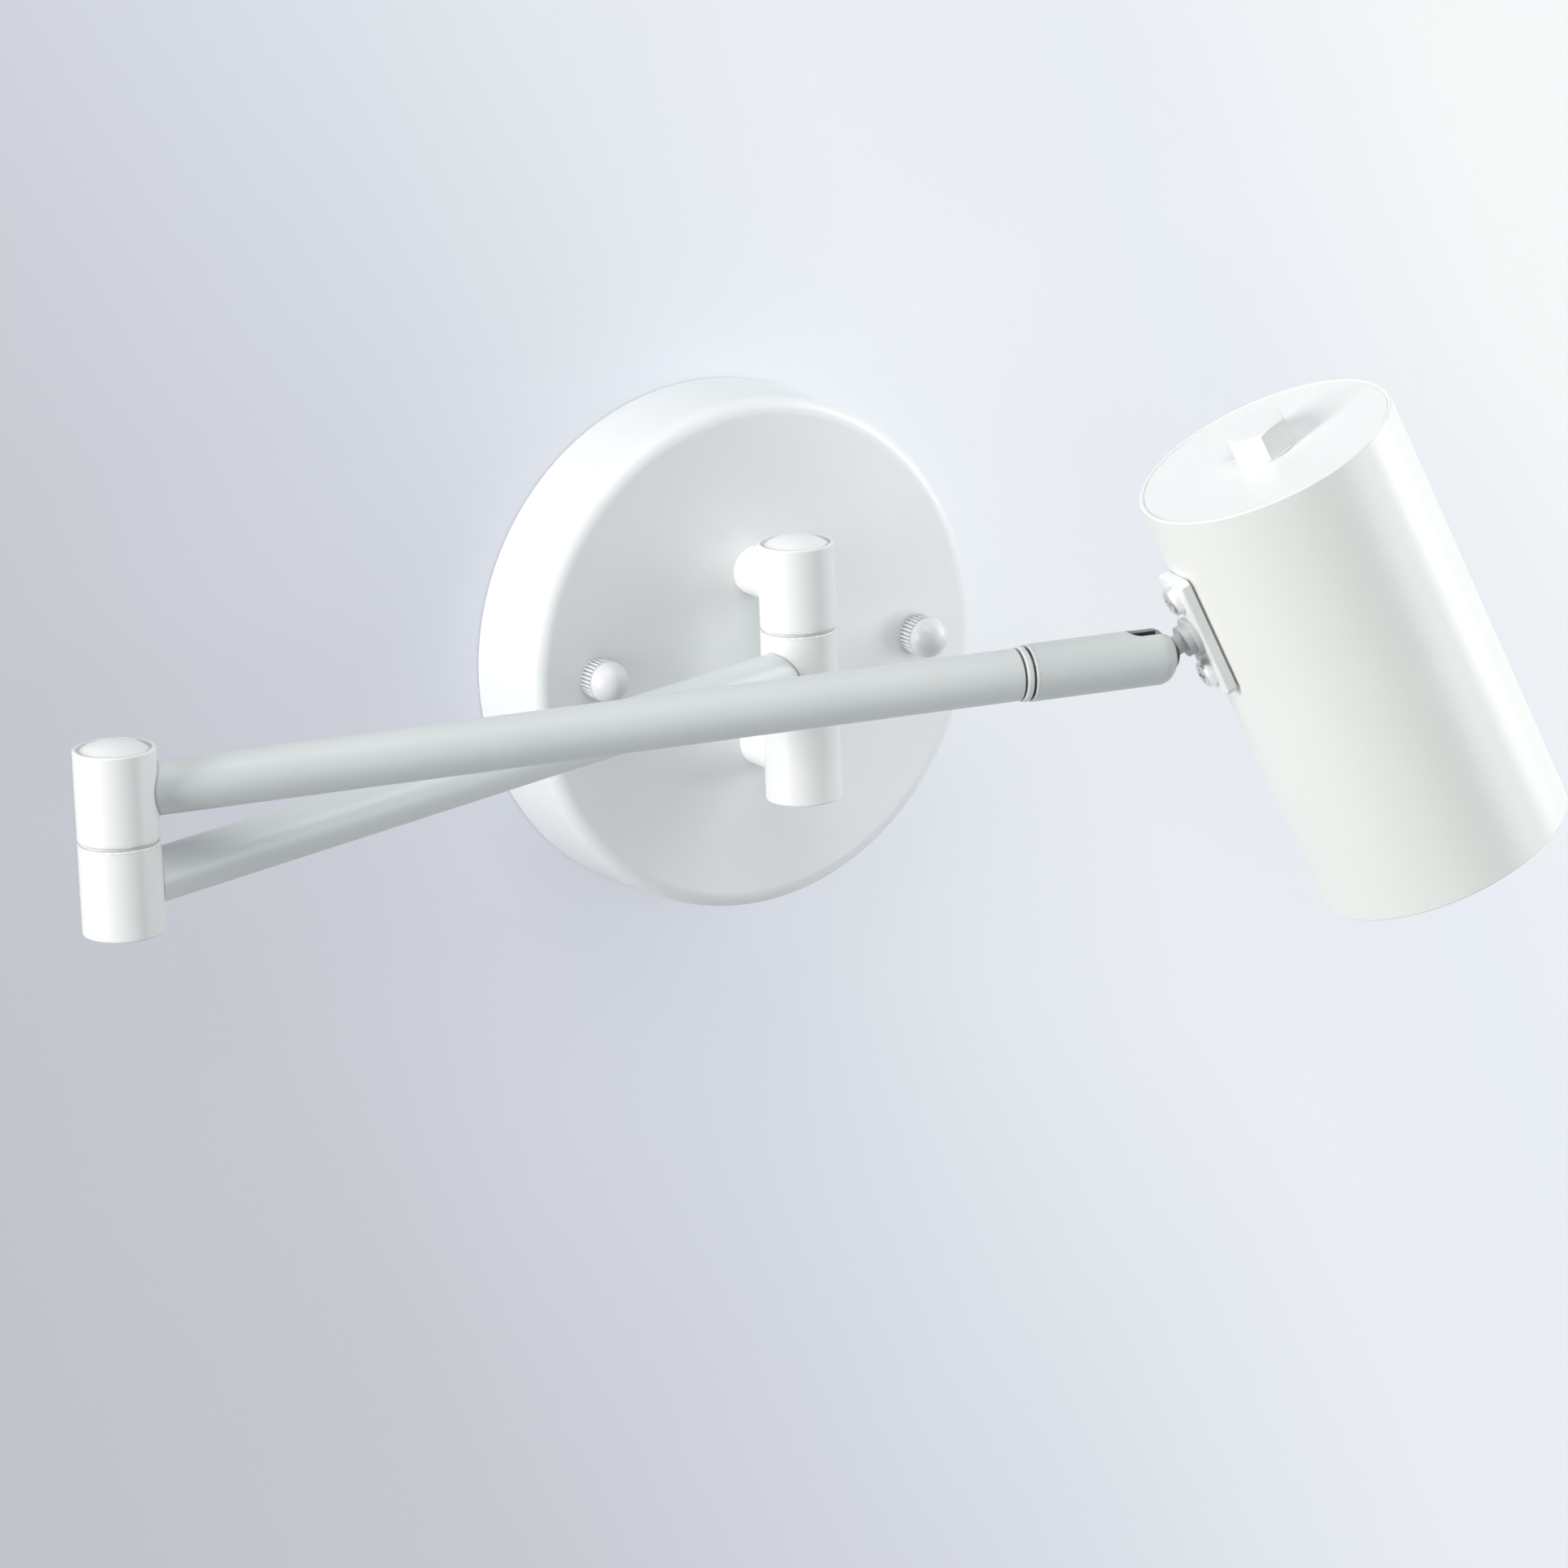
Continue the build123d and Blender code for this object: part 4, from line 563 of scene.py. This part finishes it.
ridge = nutTree.put("GeometryNodeTransform", {}, {"Geometry": ridge,
                                                  "Rotation": (0.0, 0.0, math.pi / 4)})
outward = nutTree.put("FunctionNodeAlignRotationToVector", {"axis": "X"},
                      {"Vector": nutTree.put("GeometryNodeInputPosition")})
ridges = nutTree.put("GeometryNodeInstanceOnPoints", {}, {"Points": circle, "Instance": ridge,
                                                          "Rotation": outward})
lift = nutTree.put("ShaderNodeCombineXYZ", {}, {2: nutTree.size("ridge height")})
ridges = nutTree.put("GeometryNodeTransform", {}, {"Geometry": ridges, "Translation": lift})
joined = nutTree.put("GeometryNodeJoinGeometry")
joinNode = nutTree.last
nutTree.tree.links.new(ridges.socket, joinNode.inputs[0])
nutTree.tree.links.new(nutTree.given.outputs["Geometry"], joinNode.inputs[0])
growPiece("capNuts", nutTree.end(joined), nutSizes, "base", nutPlaces,
          turnedMesh("capNutBody", nutOutline, capNut["turnSteps"]), ("cap_nuts",))

# screw threads: a fine helical ridge on each threaded shank
thread = {"facets": 28, "sides": 4, "ridge": 0.00016}


def threadTree(name, material):
    tree = Growth(name, {"turns": 1.0, "shank radius": 1.0, "shank length": 1.0,
                         "ridge size": 1.0}, material)
    helix = tree.put("GeometryNodeCurveSpiral", {}, {
        "Resolution": thread["facets"], "Rotations": tree.size("turns"),
        "Start Radius": tree.size("shank radius"), "End Radius": tree.size("shank radius"),
        "Height": tree.size("shank length")})
    section = tree.put("GeometryNodeCurvePrimitiveCircle", {"mode": "RADIUS"},
                       {"Resolution": thread["sides"], "Radius": tree.size("ridge size")})
    return tree.end(tree.put("GeometryNodeCurveToMesh", {}, {
        "Curve": helix, "Profile Curve": section, "Fill Caps": True}))


postThreadPlaces = [placeFacing(roomward * lampShape["postThreadStart"] + worldUp * level,
                                roomward, worldUp)
                    for level in (lampShape["barrelPitch"], -lampShape["barrelPitch"])]
fixingThreadPlaces = [placeFacing(side + roomward * lampShape["fixingThreadStart"], roomward,
                                  worldUp) for side in fixingSides]
studThreadPlace = placeFacing(ballPlace + stemAlong * lampShape["studThreadStart"], stemAlong,
                              shadeUp)
pipeThreadPlace = placeFacing(shadeTop - shadeUp * lampShape["pipeThreadDepth"], -shadeUp,
                              stemAlong)
threadedShanks = {
    "postThreads": {"finish": "zincBase", "body": "base", "radius": 0.0050, "length": 0.0027,
                    "pitch": 0.0009, "places": postThreadPlaces},
    "fixingThreads": {"finish": "screwSteel", "body": "base", "radius": 0.0020,
                      "length": 0.0150, "pitch": 0.0007, "places": fixingThreadPlaces},
    "studThread": {"finish": "zincStem", "body": "ball_stud", "radius": 0.0030,
                   "length": 0.0008, "pitch": 0.0007, "places": [studThreadPlace]},
    "pipeThread": {"finish": "zincShade", "body": "shade_head", "radius": 0.0050,
                   "length": 0.0010, "pitch": 0.0009, "places": [pipeThreadPlace]},
}
for shankName, shank in threadedShanks.items():
    shankSizes = {"turns": shank["length"] / shank["pitch"], "shank radius": shank["radius"],
                  "shank length": shank["length"], "ridge size": thread["ridge"]}
    shankTree = threadTree(shankName + "Helix", finishes[shank["finish"]])
    growPiece(shankName, shankTree, shankSizes, shank["body"], shank["places"])

# lens pattern: low round pebbles over the lamp's front glass
pebble = {"field": 0.043, "rows": 15, "size": 0.00150, "segments": 10, "rings": 6,
          "flatten": 0.32, "reach": 0.0213, "wobble": 0.00012, "seed": 7}
pebbleSizes = {"field": pebble["field"], "rows": pebble["rows"], "pebble size": pebble["size"],
               "flatten": pebble["flatten"], "reach": pebble["reach"], "wobble": pebble["wobble"],
               "seed": pebble["seed"]}
lensTree = Growth("lensPebbles", pebbleSizes, finishes["lampGlass"])
grid = lensTree.put("GeometryNodeMeshGrid", {}, {
    "Size X": lensTree.size("field"), "Size Y": lensTree.size("field"),
    "Vertices X": lensTree.size("rows"), "Vertices Y": lensTree.size("rows")})
spot = lensTree.put("GeometryNodeInputPosition")
fromMiddle = lensTree.put("ShaderNodeVectorMath", {"operation": "LENGTH"}, {0: spot}, out="Value")
outside = lensTree.put("FunctionNodeCompare", {"data_type": "FLOAT", "operation": "GREATER_THAN"},
                       {0: fromMiddle, 1: lensTree.size("reach")})
grid = lensTree.put("GeometryNodeDeleteGeometry", {"domain": "POINT"},
                    {"Geometry": grid, "Selection": outside})
nudge = lensTree.put("FunctionNodeRandomValue", {"data_type": "FLOAT_VECTOR"},
                     {0: (-1.0, -1.0, 0.0), 1: (1.0, 1.0, 0.0), "Seed": lensTree.size("seed")})
nudge = lensTree.put("ShaderNodeVectorMath", {"operation": "SCALE"},
                     {0: nudge, "Scale": lensTree.size("wobble")})
grid = lensTree.put("GeometryNodeSetPosition", {}, {"Geometry": grid, "Offset": nudge})
ball = lensTree.put("GeometryNodeMeshUVSphere", {}, {
    "Segments": pebble["segments"], "Rings": pebble["rings"],
    "Radius": lensTree.size("pebble size")})
squeeze = lensTree.put("ShaderNodeCombineXYZ", {}, {0: 1.0, 1: 1.0, 2: lensTree.size("flatten")})
ball = lensTree.put("GeometryNodeTransform", {}, {"Geometry": ball, "Scale": squeeze})
pebbles = lensTree.put("GeometryNodeInstanceOnPoints", {}, {"Points": grid, "Instance": ball})
lensFace = shadeTop - shadeUp * lampShape["lensDepth"]
growPiece("lensPebbles", lensTree.end(pebbles), pebbleSizes, "shade_head",
          [placeFacing(lensFace, -shadeUp, stemAlong)])

# wall and floor, lamps and camera


def wallFinish(name, look):
    f = Finish(name)
    x = f.part(f.coords, 0)
    z = f.part(f.coords, 2)
    along = look["middle"] + x * look["acrossRate"] + z * look["upRate"]
    cloud = f.noise(look["cloudScale"], detail=2.0)
    # on the wall the tone grows lighter towards the upper right: a painted pool of light, which the
    # camera sees as a glow
    paintedLightTone = f.put("ShaderNodeValToRGB", {"stops": look["stops"]},
                 {0: along + (cloud - 0.5) * look["cloud"]})
    grain = f.noise(look["grainScale"], detail=2.0)
    normal = f.bump(grain, look["bump"], look["bumpDepth"])
    glow = f.put("ShaderNodeEmission", {}, {"Color": paintedLightTone, "Strength": 1.0})
    path = f.put("ShaderNodeLightPath", out="Is Camera Ray")
    pathNode = f.last
    seen = path + Flow(f, pathNode.outputs["Is Glossy Ray"])
    seen = seen + Flow(f, pathNode.outputs["Is Transmission Ray"])
    seen = f.spread(seen, 0.0, 1.0)
    # throws less light on the lamp than its own tone would
    bounce = f.mix(look["soak"] * (1.0 - seen), paintedLightTone, (0.0, 0.0, 0.0))
    plaster = f.put("ShaderNodeBsdfDiffuse", {}, {"Color": bounce, "Normal": normal,
                                                 "Roughness": look["roughness"]})
    shader = f.put("ShaderNodeMixShader", {}, {0: seen * look["glow"], 1: plaster, 2: glow})
    # clear from its back, so that the lamp shows from behind and from below
    back = f.put("ShaderNodeNewGeometry", out="Backfacing")
    clear = f.put("ShaderNodeBsdfTransparent")
    shader = f.put("ShaderNodeMixShader", {}, {0: back, 1: shader, 2: clear})
    f.put("ShaderNodeOutputMaterial", {}, {"Surface": shader})
    return f.material


wallLook = {"middle": 0.50, "acrossRate": 1.90, "upRate": 0.90, "cloudScale": 7.0, "cloud": 0.06,
            "grainScale": 1400.0, "bump": 0.05, "bumpDepth": 0.0002, "roughness": 0.6,
            "glow": 0.50, "soak": 0.35,
            "stops": [(0.0, (0.665, 0.675, 0.715)), (0.20, (0.700, 0.710, 0.765)),
                      (0.38, (0.790, 0.812, 0.885)), (0.56, (0.900, 0.930, 0.985)),
                      (0.68, (0.940, 0.965, 0.995)), (0.82, (0.915, 0.935, 0.990)),
                      (1.0, (0.995, 0.995, 0.998))]}
floorLook = {**wallLook, "middle": 0.7, "acrossRate": 0.05, "upRate": 0.0, "soak": 0.42}


def sheetPiece(name, corners, material):
    mesh = bpy.data.meshes.new(name)
    mesh.from_pydata(corners, [], [(0, 1, 2, 3)])
    mesh.materials.append(material)
    piece = bpy.data.objects.new(name, mesh)
    bpy.context.scene.collection.objects.link(piece)


stage = {"wallBehind": 0.0003, "reach": 1.6, "floorLevel": -0.95}
sheetPiece("wallSheet", [
    (-stage["reach"], stage["wallBehind"], stage["floorLevel"]),
    (stage["reach"], stage["wallBehind"], stage["floorLevel"]),
    (stage["reach"], stage["wallBehind"], stage["reach"]),
    (-stage["reach"], stage["wallBehind"], stage["reach"])], wallFinish("wallPaint", wallLook))
sheetPiece("floorSheet", [
    (-stage["reach"], -2 * stage["reach"], stage["floorLevel"]),
    (stage["reach"], -2 * stage["reach"], stage["floorLevel"]),
    (stage["reach"], stage["wallBehind"], stage["floorLevel"]),
    (-stage["reach"], stage["wallBehind"], stage["floorLevel"])],
    wallFinish("floorPaint", floorLook))


def areaLamp(name, look):
    data = bpy.data.lights.new(name, "AREA")
    data.shape = "RECTANGLE"
    data.size, data.size_y = look["size"]
    data.energy = look["watts"]
    data.color = look["colour"]
    lamp = bpy.data.objects.new(name, data)
    place = Vector(look["place"])
    lamp.location = place
    lamp.rotation_mode = "QUATERNION"
    lamp.rotation_quaternion = (Vector(look["aim"]) - place).to_track_quat("-Z", "Y")
    bpy.context.scene.collection.objects.link(lamp)


lamps = {
    "leftSoftbox": {"place": (-3.20, -0.20, 0.42), "aim": (-0.05, -0.08, 0.0),
                    "size": (0.5, 1.7), "watts": 87.0, "colour": (1.0, 1.0, 0.985)},
    "rightSoftbox": {"place": (0.85, -0.34, 0.30), "aim": (0.05, -0.1, 0.0),
                     "size": (0.35, 0.7), "watts": 4.1, "colour": (0.94, 0.975, 1.0)},
    "frontSoftbox": {"place": (0.80, -0.95, -0.10), "aim": (0.05, -0.05, 0.0),
                     "size": (0.45, 0.45), "watts": 2.5, "colour": (0.98, 0.99, 1.0)},
    "topSoftbox": {"place": (-0.45, -0.55, 1.5), "aim": (0.0, -0.1, 0.0),
                   "size": (1.2, 0.8), "watts": 8.4, "colour": (0.98, 1.0, 1.0)},
}
for lampName, lampLook in lamps.items():
    areaLamp(lampName, lampLook)

world = bpy.data.worlds.new("studioAir")
bpy.context.scene.world = world
world.use_nodes = True
air = NodeMaker(world.node_tree)
world.node_tree.nodes.clear()
airLook = {"above": (0.48, 0.50, 0.50), "below": (0.11, 0.115, 0.125), "blend": (-0.8, 0.9),
           "seenColour": (0.93, 0.95, 0.96)}
aroundUs = air.put("ShaderNodeTexCoord", out="Generated")
skyward = air.put("ShaderNodeSeparateXYZ", {}, {0: aroundUs}, out=2)
skyTone = air.mix(air.spread(skyward, *airLook["blend"]), airLook["below"], airLook["above"])
lit = air.put("ShaderNodeBackground", {}, {"Color": skyTone, "Strength": 1.0})
shown = air.put("ShaderNodeBackground", {}, {"Color": airLook["seenColour"], "Strength": 1.0})
cameraRay = air.put("ShaderNodeLightPath", out="Is Camera Ray")
rayNode = air.last
anyRay = air.put("ShaderNodeMath", {"operation": "MAXIMUM"},
                 {0: cameraRay, 1: Flow(air, rayNode.outputs["Is Glossy Ray"])})
anyRay = air.put("ShaderNodeMath", {"operation": "MAXIMUM"},
                 {0: anyRay, 1: Flow(air, rayNode.outputs["Is Transmission Ray"])})
air.put("ShaderNodeOutputWorld", {}, {
    "Surface": air.put("ShaderNodeMixShader", {}, {0: anyRay, 1: lit, 2: shown})})

# angles in radians; the shift is in pixels of the photograph
photoCamera = {"place": (-0.91453, -1.48163, 0.44959), "yaw": 0.564465, "pitch": 0.270536,
               "roll": -0.034406, "lens": 179.463, "sensor": 36.0, "frameWidth": 1932,
               "shiftAcross": -13.0, "shiftUp": -15.7, "near": 0.05, "far": 30.0}


def makeCamera(look):
    yaw, pitch, roll = look["yaw"], look["pitch"], look["roll"]
    ahead = Vector((math.sin(yaw) * math.cos(pitch), math.cos(yaw) * math.cos(pitch),
                    -math.sin(pitch)))
    right = Vector((math.cos(yaw), -math.sin(yaw), 0.0))
    above = right.cross(ahead)
    rolledRight = right * math.cos(roll) + above * math.sin(roll)
    rolledUp = above * math.cos(roll) - right * math.sin(roll)
    data = bpy.data.cameras.new("photoCamera")
    data.sensor_width = look["sensor"]
    data.lens = look["lens"]
    data.shift_x = look["shiftAcross"] / look["frameWidth"]
    data.shift_y = look["shiftUp"] / look["frameWidth"]
    data.clip_start = look["near"]
    data.clip_end = look["far"]
    camera = bpy.data.objects.new("photoCamera", data)
    turn = Matrix((rolledRight, rolledUp, -ahead)).transposed().to_4x4()
    camera.matrix_world = Matrix.Translation(look["place"]) @ turn
    bpy.context.scene.collection.objects.link(camera)
    bpy.context.scene.camera = camera


makeCamera(photoCamera)
bpy.context.scene.view_settings.view_transform = "Standard"
print("wall, lamps and camera placed")
